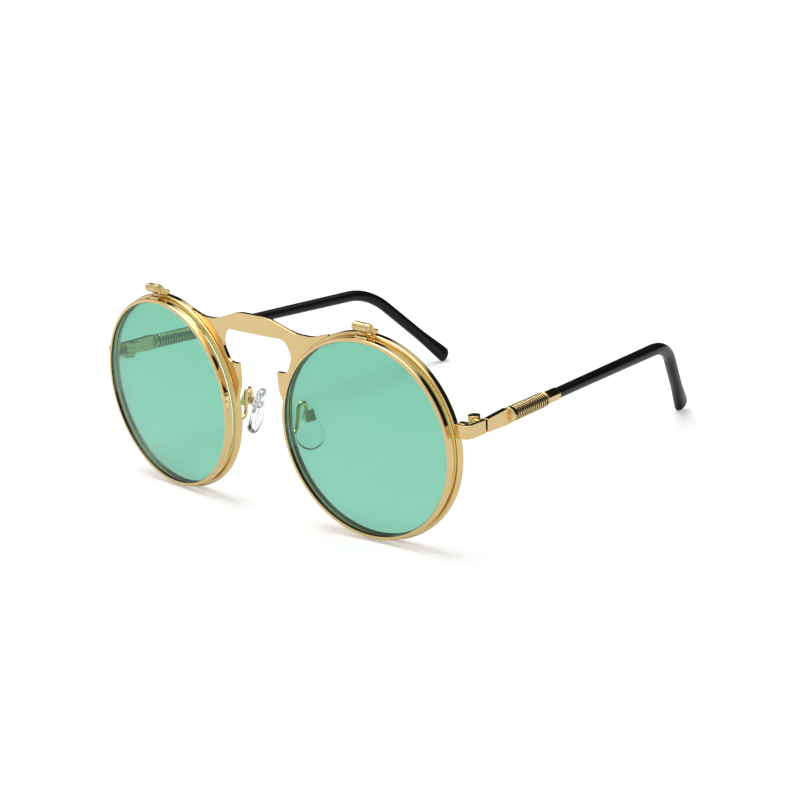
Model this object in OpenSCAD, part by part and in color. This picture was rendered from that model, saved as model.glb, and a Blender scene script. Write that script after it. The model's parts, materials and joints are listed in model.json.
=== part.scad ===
// Flip-up sunglasses: a round metal front with clear lenses, and two tinted
// lenses in rims of their own that flip up on hinges above the front.
// Millimetres. The front faces -Y, the temples run to +Y and +X is the wearer's
// left. The part stands on its two fixed rims and on the tips of its temples.

/* [Front] */
// Distance between the centres of the two eyes
eye_spacing = 75.2; // [70:0.2:82]
// Angle by which the outer side of each eye turns back
wrap_angle = 5; // [1:0.5:9]
// Angle by which the top of the front leans forward
lean_angle = 2.5; // [0:0.5:5]

/* [Fixed rims and clear lenses] */
// Inner radius of a fixed rim
fixed_inner_r = 26; // [23:0.1:28]
// Width of a fixed rim, measured from the eye's centre outwards
fixed_wall = 1.8; // [1.4:0.1:2.4]
// Depth of a fixed rim, from front to back
fixed_depth = 2.2; // [1.8:0.1:3]
// Radius of the rounded edges of a fixed rim
fixed_edge = 0.5; // [0.2:0.05:0.6]
// Thickness of a clear lens
fixed_lens_t = 1.6; // [1.2:0.1:2]

/* [Flip rims and tinted lenses] */
// How much smaller the opening of a flip rim is than that of the fixed rim
flip_inset = 0.1; // [0:0.05:0.5]
// Width of a flip rim, measured from the eye's centre outwards
flip_wall = 1.1; // [0.9:0.05:1.6]
// Depth of a flip rim, from front to back
flip_depth = 2.1; // [1.7:0.1:2.6]
// Radius of the rounded outer edges of a flip rim
flip_edge = 0.42; // [0.2:0.02:0.5]
// Thickness of a tinted lens
flip_lens_t = 1.4; // [1.1:0.1:1.8]
// Gap between a flip rim and the fixed rim behind it
flip_gap = 0.65; // [0.4:0.05:1.2]

/* [Lens seats] */
// Radius of the shallow sphere that the lenses follow
lens_curve_r = 260; // [180:10:500]
// Height of the bevel that holds a lens in its rim
bevel_h = 0.5; // [0.3:0.05:0.6]
// Width of that bevel at its foot
bevel_w = 1; // [0.7:0.05:1.1]
// Play between a lens and its rim
lens_play = 0.05; // [0.03:0.01:0.1]

/* [Flip hinges] */
// Angle by which a flip hinge sits outwards from the top of the eye
flip_hinge_turn = 3.2; // [0:0.2:8]
// Height of the flip axis above the fixed rim
flip_axis_rise = 2.2; // [1.9:0.1:3]
// Depth of the flip axis behind the face of the flip rim
flip_axis_in = 1.2; // [1:0.05:1.4]
// Radius of the flip barrel and of the round ends of its ears
flip_barrel_r = 1.2; // [1.05:0.05:1.4]
// Length of the flip barrel
flip_barrel_l = 2.7; // [2.3:0.1:3.4]
// Thickness of the bracket below the flip barrel
flip_bracket_t = 1.2; // [1:0.05:1.4]
// Thickness of the foot that is brazed to the flip rim
flip_foot_t = 0.6; // [0.4:0.05:0.8]
// How far that foot spreads past the bracket at each side
flip_foot_spread = 0.5; // [0.3:0.1:1]
// Width of the window in the bracket
flip_window_w = 1.5; // [1:0.1:1.7]
// Thickness of each ear beside the barrel
flip_ear_t = 0.9; // [0.7:0.05:1.1]
// Depth of the block that carries the ears
flip_base_t = 1.6; // [1.2:0.1:1.8]
// Height of that block above the fixed rim
flip_base_h = 1.1; // [0.8:0.1:1.3]
// How far that block spreads past the ears at each side
flip_base_spread = 0.4; // [0.2:0.1:0.8]
// Radius of the flip screw
flip_screw_r = 0.6; // [0.45:0.05:0.7]

/* [Bridge] */
// Thickness of the bridge plate
bridge_t = 1.1; // [0.8:0.1:1.5]
// Radius to which the bridge plate is bent around the brow
bridge_bend_r = 200; // [150:10:400]
// Height of the bridge's crest above the tops of the fixed rims
crest_rise = 0; // [-0.5:0.1:1.5]
// Height of the bridge between its crest and the nose opening
bridge_h = 5.3; // [4.8:0.1:6]
// Height of the nose opening between its top and the cusps at its sides
opening_h = 9.3; // [8.5:0.1:10]
// Length of the legs below the cusps
leg_l = 10.8; // [8:0.2:12]
// Width of a leg, from the fixed rim to the cusp
cusp_w = 5.8; // [5:0.1:6.5]
// Width of a leg halfway down
leg_w = 3.5; // [3:0.1:4]
// Width of a leg at its lower end
leg_tip = 0.3; // [0.2:0.05:0.6]
// Width of the neck that a cusp leaves beside the fixed rim
neck_w = 2.2; // [1.8:0.1:2.6]
// Distance of a wing's tip from the middle of its eye
wing_in = 11.9; // [10:0.1:14]
// Height of a wing's tip above the fixed rim
wing_lift = 0.5; // [0.3:0.1:1]

/* [End pieces and rim locks] */
// Height of the end piece above the centre of the eye
end_rise = 5.7; // [3:0.1:8]
// How far the end piece reaches out from the fixed rim
end_reach = 3.2; // [3.1:0.1:4.5]
// How far the end piece runs back to its seam with the temple
end_run = 6.6; // [6.2:0.1:8]
// Thickness of the end piece
end_t = 1.1; // [1:0.1:1.2]
// Height of the end piece
end_h = 3.5; // [3:0.1:4]
// Gap of the seam between end piece and temple
seam_gap = 0.3; // [0.2:0.05:0.4]
// Width of the lock blocks that close the fixed rim
lock_w = 1.9; // [1.8:0.05:1.9]
// Depth of the lock blocks
lock_d = 2.2; // [1.9:0.1:2.3]
// Height of each lock block
lock_h = 1.6; // [1.3:0.1:1.9]
// Gap at which the fixed rim is split between the blocks
lock_gap = 0.3; // [0.2:0.05:0.5]
// Radius of the lock screw
lock_screw_r = 0.45; // [0.4:0.05:0.45]

/* [Temple hinges] */
// Angle by which the left temple stands folded in
left_fold = 9.4; // [0:0.1:20]
// Angle by which the right temple stands folded in
right_fold = 0; // [0:0.1:20]
// Radius of the temple hinge's barrel
barrel_r = 1.6; // [1.3:0.05:1.8]
// Height of that barrel
barrel_h = 3.8; // [3.6:0.1:5]
// Radius of the temple screw
temple_screw_r = 0.7; // [0.5:0.05:0.8]
// Thickness of a hinge leaf
leaf_t = 0.75; // [0.6:0.05:1]
// Length of the leaf on the temple
leaf_l = 5.6; // [4:0.1:7]

/* [Temples] */
// Thickness of the temple's lug
lug_t = 1.5; // [1.3:0.1:1.8]
// Distance from the hinge to the end of the lug
lug_l = 12; // [9:0.5:15]
// Height of the lug where it meets the end piece
lug_front_h = 3.4; // [2.8:0.1:3.8]
// Height of the lug at its wider end
lug_back_h = 4.3; // [3.6:0.1:4.6]
// Length of the wound coil
coil_l = 17; // [12:0.5:22]
// Outer radius of the coil and of the collar before it
coil_r = 2.05; // [1.8:0.05:2.3]
// Diameter of the coil's wire
coil_wire = 0.65; // [0.5:0.05:0.7]
// Number of turns of the coil
coil_turns = 13; // [8:1:13]
// Radius of the rod inside the coil
rod_r = 1.22; // [0.95:0.01:1.25]
// Radius of the core wire inside the sleeve
core_r = 0.8; // [0.6:0.05:0.9]
// Thickness of the collar before the coil
collar_t = 0.8; // [0.6:0.1:1.2]
// Length over which the lug narrows to its collar
lug_taper = 1.4; // [1:0.1:2]
// Length of the ferrule between coil and sleeve
ferrule_l = 7; // [5:0.5:10]
// Radius of the ferrule
ferrule_r = 1.75; // [1.7:0.05:2]

/* [Ear sleeves] */
// Distance from the hinge to the corner of the ear bend
bend_at = 101.8; // [90:0.2:110]
// Angle of the ear bend
bend_angle = 43; // [30:1:60]
// Radius of the ear bend
bend_r = 23; // [16:0.5:30]
// Angle by which the ear bend leans in towards the head
bend_roll = 18; // [0:1:25]
// Distance from that corner to the centre of the tip
ear_l = 38.3; // [34:0.1:45]
// Radius of the sleeve at the ferrule
sleeve_r = 1.5; // [1.35:0.05:1.6]
// Radius of the sleeve at the ear bend
sleeve_bend_r = 1.75; // [1.5:0.05:2]
// Length over which the sleeve spreads into its paddle
paddle_l = 13; // [8:0.5:16]
// Radius of the paddle's rounded edge
paddle_edge_r = 1.6; // [1.3:0.05:1.8]
// Half of the distance between the paddle's two edges
paddle_half = 1; // [0.5:0.1:1.6]
// Length of the core wire past the ear bend
core_past_bend = 12; // [6:0.5:14]

/* [Nose pads] */
// Distance of a pad's centre outwards from the nose side of the fixed rim
pad_out = 0.2; // [-0.5:0.1:1]
// Distance of a pad's centre behind the fixed rim
pad_behind = 3.65; // [3.2:0.05:5]
// Distance of a pad's centre below the centres of the eyes
pad_below = 2.9; // [1:0.1:4]
// Angle at which the pads splay open towards the face
pad_splay = 25; // [15:1:35]
// Angle at which the tops of the pads lean in to each other
pad_flare = 19; // [10:1:25]
// Angle at which the tops of the pads lean forward
pad_tilt = 5.6; // [0:0.2:10]
// Length of a pad
pad_l = 13.6; // [11:0.2:15]
// Radius of a pad's lower end
pad_low_r = 3.9; // [3:0.1:4.5]
// Radius of a pad's upper end
pad_high_r = 2.7; // [2:0.1:3.2]
// Thickness of a pad
pad_t = 2.2; // [1.8:0.1:2.4]
// Height of the pad's screw above the pad's centre
pad_screw_up = 2.2; // [1:0.1:3]
// Distance of the pad's screw behind the pad's middle
pad_screw_out = 2.4; // [2.3:0.05:2.8]
// Radius of the pad screw
pad_screw_r = 0.4; // [0.3:0.05:0.45]
// Thickness of the pad box's walls
box_wall = 0.4; // [0.3:0.05:0.5]
// Inner width of the pad box
box_w = 1.9; // [1.6:0.1:2.2]
// Inner height of the pad box
box_h = 2.3; // [2:0.1:2.6]
// Radius of the wire of a pad arm
arm_r = 0.55; // [0.4:0.05:0.65]
// Height of the pad arm's loop above the pad box
arm_rise = 2.6; // [1.5:0.1:4]
// Angle below the level at which the arm leaves the fixed rim
arm_angle = 7.4; // [3:0.2:12]

/* [Fits] */
// Radial play of a piece that turns on a screw
running_play = 0.03; // [0.02:0.01:0.06]
// Play between two faces that move past each other
side_play = 0.05; // [0.04:0.01:0.1]
// Thickness of a brazed or glued joint
joint_gap = 0.02; // [0.01:0.01:0.04]

/* [Hidden] */

GOLD = "goldenrod";
TINT = "mediumaquamarine";
CLEAR = "azure";
BLACK = "dimgray";

ring_fn = 144;
bend_fn = 360;
small_fn = 40;
hull_fn = 32;
// A cut runs this far past the faces that it opens
past = 1;
// A rod laps this far over the end of a bend
lap = 0.05;

// Heights of the screw heads
flip_head_h = 0.6;
temple_head_h = 0.5;
lock_head_h = 0.5;
pad_head_h = 0.4;
// A screw's shaft reaches this share of its head's height into the head
shaft_in_head = 1 / 3;

// Depths along the axis of an eye, from the face of the flip rim
fixed_front = flip_depth + flip_gap;
fixed_mid = fixed_front + fixed_depth / 2;
fixed_back = fixed_front + fixed_depth;
fixed_outer_r = fixed_inner_r + fixed_wall;
flip_inner_r = fixed_inner_r - flip_inset;
flip_outer_r = flip_inner_r + flip_wall;
// Length of a cut round a rim, through everything that meets it
rim_cut_l = 4 * fixed_back;

// Height of the eyes: the fixed rims just touch the ground
rim_dip = asin(cos(wrap_angle) * sin(lean_angle));
eye_z = fixed_edge
    + (fixed_outer_r - fixed_edge) * cos(rim_dip)
    - (fixed_front + fixed_edge) * sin(rim_dip);

// Where the end piece leaves the rim, in the front's own frame
rim_side_x = sqrt(pow(fixed_outer_r, 2) - pow(end_rise, 2));
end_root_in = fixed_front + end_t / 2;
end_root = eye_point([rim_side_x, end_root_in, end_rise]);

// The temple hinge's axis, beside the line of the temple
temple_offset = barrel_r + leaf_t + lug_t / 2;
hinge_x = end_root.x + end_reach - temple_offset;
hinge_in = end_root.y * cos(lean_angle) - end_root.z * sin(lean_angle) + end_run;
hinge_z = eye_z + end_root.z * cos(lean_angle) + end_root.y * sin(lean_angle);
end_outer_x = temple_offset + lug_t / 2;
end_inner_x = end_outer_x - end_t;
knuckle_h = (barrel_h - 2 * side_play) / 3;
barrel_free_r = barrel_r + 2 * side_play;
// The lock screw stands this far out from the middle of its blocks, to clear the rim
lock_screw_out = 0.25;
// The leaves stay this far inside the edges of what they are brazed to
leaf_inset = 0.3;

// Stations along the temple
coil_start = lug_l;
coil_end = coil_start + coil_l;
ferrule_end = coil_end + ferrule_l;
sleeve_seat = 1.6;
sleeve_start = ferrule_end - sleeve_seat + joint_gap;
bend_tangent = bend_r * tan(bend_angle / 2);
bend_start = bend_at - bend_tangent;
ear_straight = ear_l - bend_tangent - paddle_l;

// The temple tips touch the ground: their lowest edge sets the temple's pitch
tip_along = bend_at + ear_l * cos(bend_angle) - paddle_half * sin(bend_angle);
tip_down = (ear_l * sin(bend_angle) + paddle_half * cos(bend_angle)) * cos(bend_roll);
temple_pitch = asin((hinge_z - paddle_edge_r) / norm([tip_along, tip_down]))
    - atan2(tip_down, tip_along);

// The origin lies under the middle of the whole length
far_end = bend_at + ear_l * cos(bend_angle) + paddle_half * sin(bend_angle);
far_down = (ear_l * sin(bend_angle) - paddle_half * cos(bend_angle)) * cos(bend_roll);
rear_reach = hinge_in + far_end * cos(temple_pitch) - far_down * sin(temple_pitch) + paddle_edge_r;
front_reach = (flip_outer_r - flip_edge) * norm([sin(wrap_angle), sin(lean_angle)]);
front_y = (front_reach - rear_reach) / 2;

// The flip hinge, seen along its axis
flip_axis_r = fixed_outer_r + flip_axis_rise;
flip_ear_x = flip_barrel_l / 2 + side_play;
flip_ear_end = flip_ear_x + flip_ear_t;
flip_foot_w = flip_barrel_l + 2 * flip_foot_spread;
flip_head_r = flip_barrel_r - 0.1;
flip_base_front = fixed_mid - flip_base_t / 2;
flip_base_top = fixed_outer_r + flip_base_h;

// Material left above and below the window of the bracket
flip_window_edge = 0.15;
// Height of the web behind each ear of the flip hinge
flip_ear_web = 0.5;

// The bridge, measured from the centres of the eyes
crest_z = fixed_outer_r + crest_rise;
opening_z = crest_z - bridge_h;
cusp_z = opening_z - opening_h;

// The bridge plate lies in the middle of the fixed rims where it meets them
nose_side = eye_point([-fixed_outer_r, fixed_mid, 0]);
bridge_in = nose_side.y - pow(nose_side.x, 2) / (2 * bridge_bend_r);

// The pad arm, from the back of the fixed rim to the pad box
arm_root_r = fixed_inner_r + fixed_wall * 0.55;
pad_centre = [eye_spacing / 2 - fixed_outer_r + pad_out, fixed_back + pad_behind, -pad_below];
arm_foot_in = fixed_back + joint_gap;
arm_foot = eye_point([-arm_root_r * cos(arm_angle), arm_foot_in, -arm_root_r * sin(arm_angle)]);
lug_r = pad_screw_r + 0.3;
box_back = pad_screw_out + lug_r + side_play + box_wall;
box_mouth = pad_screw_out - lug_r - side_play;
box_top = pad_screw_up + box_h / 2 + box_wall;
arm_end = pad_point([(box_mouth + box_back) / 2 + 0.2, 0, box_top - box_wall / 2]);
arm_top_z = arm_end.z + arm_rise;

// Turns about one axis, as matrices
function turn_x(a) = [[1, 0, 0], [0, cos(a), -sin(a)], [0, sin(a), cos(a)]];
function turn_y(a) = [[cos(a), 0, sin(a)], [0, 1, 0], [-sin(a), 0, cos(a)]];
function turn_z(a) = [[cos(a), -sin(a), 0], [sin(a), cos(a), 0], [0, 0, 1]];

// A point of the left eye's frame, and one of the left pad's, in the front's frame
function eye_point(p) = [eye_spacing / 2, 0, 0] + turn_z(wrap_angle) * p;
function pad_point(p) =
    pad_centre + turn_z(-pad_splay) * turn_y(-pad_flare) * turn_x(pad_tilt) * p;

// A corner at q between p and s, rounded by an arc of radius r
function corner(p, q, s, r, steps) =
    let (
        u = (p - q) / norm(p - q),
        v = (s - q) / norm(s - q),
        half = acos(u * v) / 2,
        centre = q + (u + v) / norm(u + v) * r / sin(half),
        from = q + u * r / tan(half) - centre,
        to = q + v * r / tan(half) - centre,
        first = atan2(from.y, from.x),
        sweep = atan2(from.x * to.y - from.y * to.x, from * to)
    )
    r == 0
        ? [q]
        : [for (i = [0:steps])
            centre + r * [cos(first + sweep * i / steps), sin(first + sweep * i / steps)]];

// An outline whose corners are rounded, each by its own radius
function rounded(points, radii, steps = 4) =
    let (n = len(points))
    [for (i = [0:n - 1])
        each corner(points[(i + n - 1) % n], points[i], points[(i + 1) % n], radii[i], steps)];

// Points of a smooth curve through a list of points
function curve(points, steps) =
    let (n = len(points))
    concat(
        [for (i = [0:n - 2], k = [0:steps - 1])
            let (
                a = points[max(i - 1, 0)],
                b = points[i],
                c = points[i + 1],
                d = points[min(i + 2, n - 1)],
                t = k / steps
            )
            b + (c - a) * t / 2
                + (2 * a - 5 * b + 4 * c - d) * pow(t, 2) / 2
                + (3 * b - a - 3 * c + d) * pow(t, 3) / 2],
        [points[n - 1]]
    );

function unit(v) = v / norm(v);

// Rings of points round a path, each square to it; side points to one side of it
function tube_rings(path, side, r, corners) =
    let (n = len(path))
    [for (i = [0:n - 1])
        let (
            along = unit(path[min(i + 1, n - 1)] - path[max(i - 1, 0)]),
            across = unit(cross(along, side[i])),
            up = cross(across, along)
        )
        [for (k = [0:corners - 1])
            path[i] + r * (cos(k * 360 / corners) * up + sin(k * 360 / corners) * across)]];

// A closed tube through its rings
module tube(rings) {
    n = len(rings);
    corners = len(rings[0]);
    faces = concat(
        [[for (k = [0:corners - 1]) k]],
        [for (i = [0:n - 2], k = [0:corners - 1])
            each [
                [i * corners + k, (i + 1) * corners + k, i * corners + (k + 1) % corners],
                [i * corners + (k + 1) % corners, (i + 1) * corners + k,
                 (i + 1) * corners + (k + 1) % corners]
            ]],
        [[for (k = [corners - 1:-1:0]) (n - 1) * corners + k]]
    );
    polyhedron([for (ring = rings) each ring], faces);
}

// The whole front, leaning forward, and the left eye in it
module front() {
    translate([0, front_y, eye_z]) rotate([lean_angle, 0, 0]) children();
}

module eye() {
    front() translate([eye_spacing / 2, 0, 0]) rotate([0, 0, wrap_angle]) children();
}

// A solid of revolution about the axis of the left eye
module eye_ring(profile) {
    eye() rotate([-90, 0, 0]) rotate_extrude($fn = ring_fn) polygon(profile);
}

// What a rim and its brazed joint fill, to cut a piece that meets it
module rim_cut(r = fixed_outer_r) {
    eye() rotate([-90, 0, 0]) cylinder(r = r + joint_gap, h = rim_cut_l, center = true, $fn = ring_fn);
}

// The flip axis of the left eye: X along it, Z out from the eye's centre
module flip_axis() {
    eye() rotate([0, flip_hinge_turn, 0]) translate([0, flip_axis_in, flip_axis_r]) children();
}

// An outline in the plane across the flip axis, drawn out along it
module across_flip_axis(from, to) {
    translate([from, 0, 0]) rotate([90, 0, 90]) linear_extrude(to - from) children();
}

// The temple hinge's axis, and the pitched temple that turns on it
module hinge() {
    translate([hinge_x, front_y + hinge_in, hinge_z]) children();
}

module temple() {
    hinge() rotate([-temple_pitch, 0, 0]) children();
}

// A temple's pieces folded in about the hinge's axis
module folded(angle) {
    hinge() rotate([0, 0, angle]) translate([-hinge_x, -front_y - hinge_in, -hinge_z]) children();
}

module mirrored() {
    mirror([1, 0, 0]) children();
}

// Along the temple's centre line: Z runs back from the hinge and Y points down
module temple_line() {
    temple() translate([temple_offset, 0, 0]) rotate([-90, 0, 0]) children();
}

// At the left pad: its face points to -X and its long side stands up
module pad() {
    front() translate(pad_centre) rotate([0, 0, -pad_splay]) rotate([pad_tilt, -pad_flare, 0]) children();
}

// A screw head with its slot, its top at the far end
module slotted_head(r, h) {
    difference() {
        cylinder(r = r, h = h, $fn = small_fn);
        translate([-r - past, -r / 6, h / 2]) cube([2 * (r + past), r / 3, h]);
    }
}

// Section of a rim: a band with rounded edges and a groove for the lens
function rim_profile(inner, outer, near, depth, edge) =
    let (mid = near + depth / 2, groove_w = bevel_w / 2 + lens_play)
    concat(
        rounded(
            [[inner, near], [outer, near], [outer, near + depth], [inner, near + depth]],
            [edge / 2, edge, edge, edge / 2]
        ),
        [[inner, mid + groove_w], [inner + bevel_h, mid], [inner, mid - groove_w]]
    );

// Section of a lens: two shallow arcs, and the bevel round its edge
function lens_profile(inner, mid, t, steps = 12) =
    let (
        edge = inner - lens_play,
        rise = function (r) sqrt(pow(lens_curve_r, 2) - pow(r, 2)) - sqrt(pow(lens_curve_r, 2) - pow(edge, 2))
    )
    concat(
        [for (i = [0:steps]) let (r = edge * i / steps) [r, mid - t / 2 - rise(r)]],
        [[edge, mid - bevel_w / 2], [edge + bevel_h, mid], [edge, mid + bevel_w / 2]],
        [for (i = [steps:-1:0]) let (r = edge * i / steps) [r, mid + t / 2 - rise(r)]]
    );

module fixed_rim() {
    color(GOLD) difference() {
        eye_ring(rim_profile(fixed_inner_r, fixed_outer_r, fixed_front, fixed_depth, fixed_edge));
        at_lock() translate([-2 * fixed_wall, -fixed_depth, -lock_gap / 2])
            cube([2 * fixed_wall + past, 2 * fixed_depth, lock_gap]);
    }
}

module fixed_lens() {
    color(CLEAR) eye_ring(lens_profile(fixed_inner_r, fixed_mid, fixed_lens_t));
}

module flip_rim() {
    color(GOLD) eye_ring(rim_profile(flip_inner_r, flip_outer_r, 0, flip_depth, flip_edge));
}

module flip_lens() {
    color(TINT) eye_ring(lens_profile(flip_inner_r, flip_depth / 2, flip_lens_t));
}

// The bracket on the flip rim: a foot, a plate with a window and the barrel
module flip_bracket() {
    foot_top = flip_outer_r + flip_foot_t - flip_axis_r;
    foot_low = flip_outer_r - past - flip_axis_r;
    window_top = -flip_barrel_r - flip_window_edge;
    window_low = foot_top + flip_window_edge;
    color(GOLD) difference() {
        flip_axis() union() {
            translate([-flip_foot_w / 2, -flip_bracket_t / 2, foot_low])
                cube([flip_foot_w, flip_bracket_t, foot_top - foot_low]);
            difference() {
                translate([-flip_barrel_l / 2, -flip_bracket_t / 2, foot_low])
                    cube([flip_barrel_l, flip_bracket_t, -foot_low]);
                translate([-flip_window_w / 2, -flip_bracket_t, window_low])
                    cube([flip_window_w, 2 * flip_bracket_t, window_top - window_low]);
            }
            across_flip_axis(-flip_barrel_l / 2, flip_barrel_l / 2) circle(flip_barrel_r, $fn = small_fn);
        }
        flip_axis() across_flip_axis(-flip_barrel_l, flip_barrel_l)
            circle(flip_screw_r + running_play, $fn = small_fn);
        rim_cut(flip_outer_r);
    }
}

// The block on the fixed rim, whose two ears reach forward to the flip axis
module flip_base() {
    front_in = flip_base_front - flip_axis_in;
    back_in = front_in + flip_base_t;
    top = flip_base_top - flip_axis_r;
    low = fixed_outer_r - past - flip_axis_r;
    rim_top = fixed_outer_r - flip_axis_r;
    ear = [
        [0, flip_barrel_r], [0, -flip_barrel_r], [front_in, rim_top],
        [back_in, rim_top], [back_in, top], [front_in + flip_ear_web / 2, top + flip_ear_web]
    ];
    base_half = flip_ear_end + flip_base_spread;
    color(GOLD) difference() {
        flip_axis() union() {
            translate([-base_half, front_in, low]) cube([2 * base_half, flip_base_t, top - low]);
            for (from = [-flip_ear_end, flip_ear_x])
                across_flip_axis(from, from + flip_ear_t) union() {
                    circle(flip_barrel_r, $fn = small_fn);
                    polygon(ear);
                }
        }
        flip_axis() across_flip_axis(-base_half, base_half)
            circle(flip_screw_r + joint_gap, $fn = small_fn);
        rim_cut();
    }
}

// The screw of the flip hinge; its head is on the wearer's left on both eyes
module flip_screw(head_side) {
    shaft_end = past + flip_head_h * shaft_in_head;
    color(GOLD) flip_axis() mirror([head_side < 0 ? 1 : 0, 0, 0]) rotate([0, 90, 0]) union() {
        translate([0, 0, -flip_ear_end]) cylinder(r = flip_screw_r, h = 2 * flip_ear_end, $fn = small_fn);
        translate([0, 0, flip_ear_end + joint_gap]) slotted_head(flip_head_r, flip_head_h);
        translate([0, 0, flip_ear_end - past]) cylinder(r = flip_screw_r, h = shaft_end, $fn = small_fn);
    }
}

// The nose side of the left fixed rim, at a height above the eye's centre
function rim_at(z) = eye_spacing / 2 - sqrt(pow(fixed_outer_r, 2) - pow(z, 2));

// Outline of the bridge, left half; each corner has its place and its radius
function bridge_half() =
    let (
        wing = [eye_spacing / 2 - wing_in, sqrt(pow(fixed_outer_r, 2) - pow(wing_in, 2)) + wing_lift],
        foot_z = cusp_z - leg_l,
        calf_z = cusp_z - leg_l / 2,
        bay_z = (opening_z + cusp_z) / 2,
        bay_x = rim_at(bay_z) - neck_w * 1.4,
        corners = [
            [0, crest_z, 0],
            [bridge_h, crest_z, 14],
            [wing.x - 2 * bridge_h, wing.y - bridge_h / 5, 14],
            [wing.x - bridge_h, wing.y - bridge_h / 4, 10],
            [wing.x, wing.y, 0.2],
            [wing.x + past, bay_z, 0],
            [rim_at(foot_z) + 3 * past, foot_z, 0],
            [rim_at(foot_z) - leg_tip, foot_z, 0],
            [rim_at(calf_z) - leg_w, calf_z, 8],
            [rim_at(cusp_z) - cusp_w, cusp_z, 0.15],
            [rim_at(cusp_z) - neck_w, cusp_z, neck_w],
            [bay_x, bay_z, 4],
            [bay_x - neck_w * 0.8, opening_z, 3.4],
            [0, opening_z, 0]
        ]
    )
    rounded([for (c = corners) [c.x, c.y]], [for (c = corners) c.z], 8);

// The whole outline: the left half, and its mirror image without the two shared points
function bridge_outline() =
    let (half = bridge_half())
    concat(half, [for (i = [len(half) - 2:-1:1]) [-half[i].x, half[i].y]]);

module bridge_plate() {
    tall = crest_z + past;
    color(GOLD) difference() {
        front() intersection() {
            rotate([90, 0, 0]) linear_extrude(rim_cut_l, center = true) polygon(bridge_outline());
            translate([0, bridge_in + bridge_bend_r, 0]) difference() {
                cylinder(r = bridge_bend_r + bridge_t / 2, h = tall, $fn = bend_fn);
                translate([0, 0, -past])
                    cylinder(r = bridge_bend_r - bridge_t / 2, h = tall + 2 * past, $fn = bend_fn);
            }
        }
        rim_cut();
        mirrored() rim_cut();
    }
}

// The bent strip that carries the temple hinge, brazed to the side of the rim
module end_piece() {
    root = [end_root.x - hinge_x, -end_run];
    slope = tan(wrap_angle);
    half = end_t / 2 / cos(wrap_angle);
    start = root.x - 1;
    front_at = function (x) root.y - half + (x - root.x) * slope;
    back_at = function (x) root.y + half + (x - root.x) * slope;
    outline = rounded(
        [
            [start, front_at(start)], [end_outer_x, front_at(end_outer_x)],
            [end_outer_x, -seam_gap / 2], [end_inner_x, -seam_gap / 2],
            [end_inner_x, back_at(end_inner_x)], [start, back_at(start)]
        ],
        [0, 1.7, 0.15, 0.1, 0.5, 0]
    );
    color(GOLD) difference() {
        hinge() linear_extrude(end_h, center = true) polygon(outline);
        rim_cut();
    }
}

// Place of the lock, at the rim's split behind the end piece
module at_lock() {
    root_x = end_root.x - hinge_x;
    hinge() translate([root_x, -end_run, 0]) rotate([0, 0, wrap_angle])
        translate([0, end_t / 2 + joint_gap, 0]) children();
}

// The lock screw's axis
module at_lock_screw() {
    at_lock() translate([lock_w / 2 + lock_screw_out, lock_d / 2, 0]) children();
}

module lock_blocks() {
    color(GOLD) difference() {
        at_lock() for (low = [lock_gap / 2, -lock_gap / 2 - lock_h])
            translate([-past, 0, low]) cube([lock_w + past, lock_d, lock_h]);
        at_lock_screw()
            cylinder(r = lock_screw_r + joint_gap, h = 4 * lock_h, center = true, $fn = small_fn);
        rim_cut();
    }
}

module lock_screw() {
    reach = lock_gap / 2 + lock_h;
    shaft = 2 * reach + lock_head_h * shaft_in_head;
    color(GOLD) at_lock_screw() rotate([180, 0, 0]) union() {
        translate([0, 0, -reach]) cylinder(r = lock_screw_r, h = shaft, $fn = small_fn);
        translate([0, 0, reach + joint_gap]) slotted_head(lock_screw_r * 1.7, lock_head_h);
    }
}

// A hinge leaf that clears the barrel, with its knuckles; y_to is its far end
module leaf(y_from, y_to, face_x, h, knuckles, bore_r) {
    arm = barrel_r * 0.94 - abs(y_from);
    difference() {
        union() {
            difference() {
                translate([face_x - leaf_t, min(y_from, y_to), -h / 2])
                    cube([leaf_t, abs(y_to - y_from), h]);
                cylinder(r = barrel_free_r, h = 2 * barrel_h, center = true, $fn = small_fn);
            }
            for (low = knuckles) translate([0, 0, low]) {
                cylinder(r = barrel_r, h = knuckle_h, $fn = small_fn);
                translate([0, y_to > 0 ? y_from : y_from - arm, 0]) cube([face_x, arm, knuckle_h]);
            }
        }
        cylinder(r = bore_r, h = 2 * barrel_h, center = true, $fn = small_fn);
    }
}

module front_leaf() {
    top_low = barrel_h / 2 - knuckle_h;
    far = -end_run + end_t / 2 + lock_d + leaf_inset;
    color(GOLD) hinge() leaf(
        -seam_gap / 2, far, end_inner_x - joint_gap, end_h - 2 * leaf_inset,
        [-barrel_h / 2, top_low], temple_screw_r + joint_gap
    );
}

module temple_leaf() {
    color(GOLD) hinge() leaf(
        seam_gap / 2, leaf_l, temple_offset - lug_t / 2 - joint_gap, lug_front_h - 2 * leaf_inset,
        [-knuckle_h / 2], temple_screw_r + running_play
    );
}

module temple_screw() {
    shaft = barrel_h + temple_head_h * shaft_in_head;
    color(GOLD) hinge() union() {
        translate([0, 0, -barrel_h / 2]) cylinder(r = temple_screw_r, h = shaft, $fn = small_fn);
        translate([0, 0, barrel_h / 2 + joint_gap]) slotted_head(barrel_r, temple_head_h);
    }
}

// A rod along the sleeve's bore: straight, round the ear bend and on
module core_path(r, start, past_bend) {
    translate([0, 0, start]) cylinder(r = r, h = bend_start - start, $fn = small_fn);
    rotate([0, 0, bend_roll]) {
        ear_bend(r);
        after_bend() lapped_rod(r, past_bend);
    }
}

// A straight rod that laps over the end of the bend before it
module lapped_rod(r, h) {
    translate([0, 0, -lap]) cylinder(r = r + lap / 5, h = h + lap, $fn = small_fn);
}

module ear_bend(r) {
    translate([0, bend_r, bend_start]) rotate([90, 0, -90])
        rotate_extrude(angle = bend_angle, $fn = ring_fn) translate([bend_r, 0]) circle(r, $fn = small_fn);
}

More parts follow.
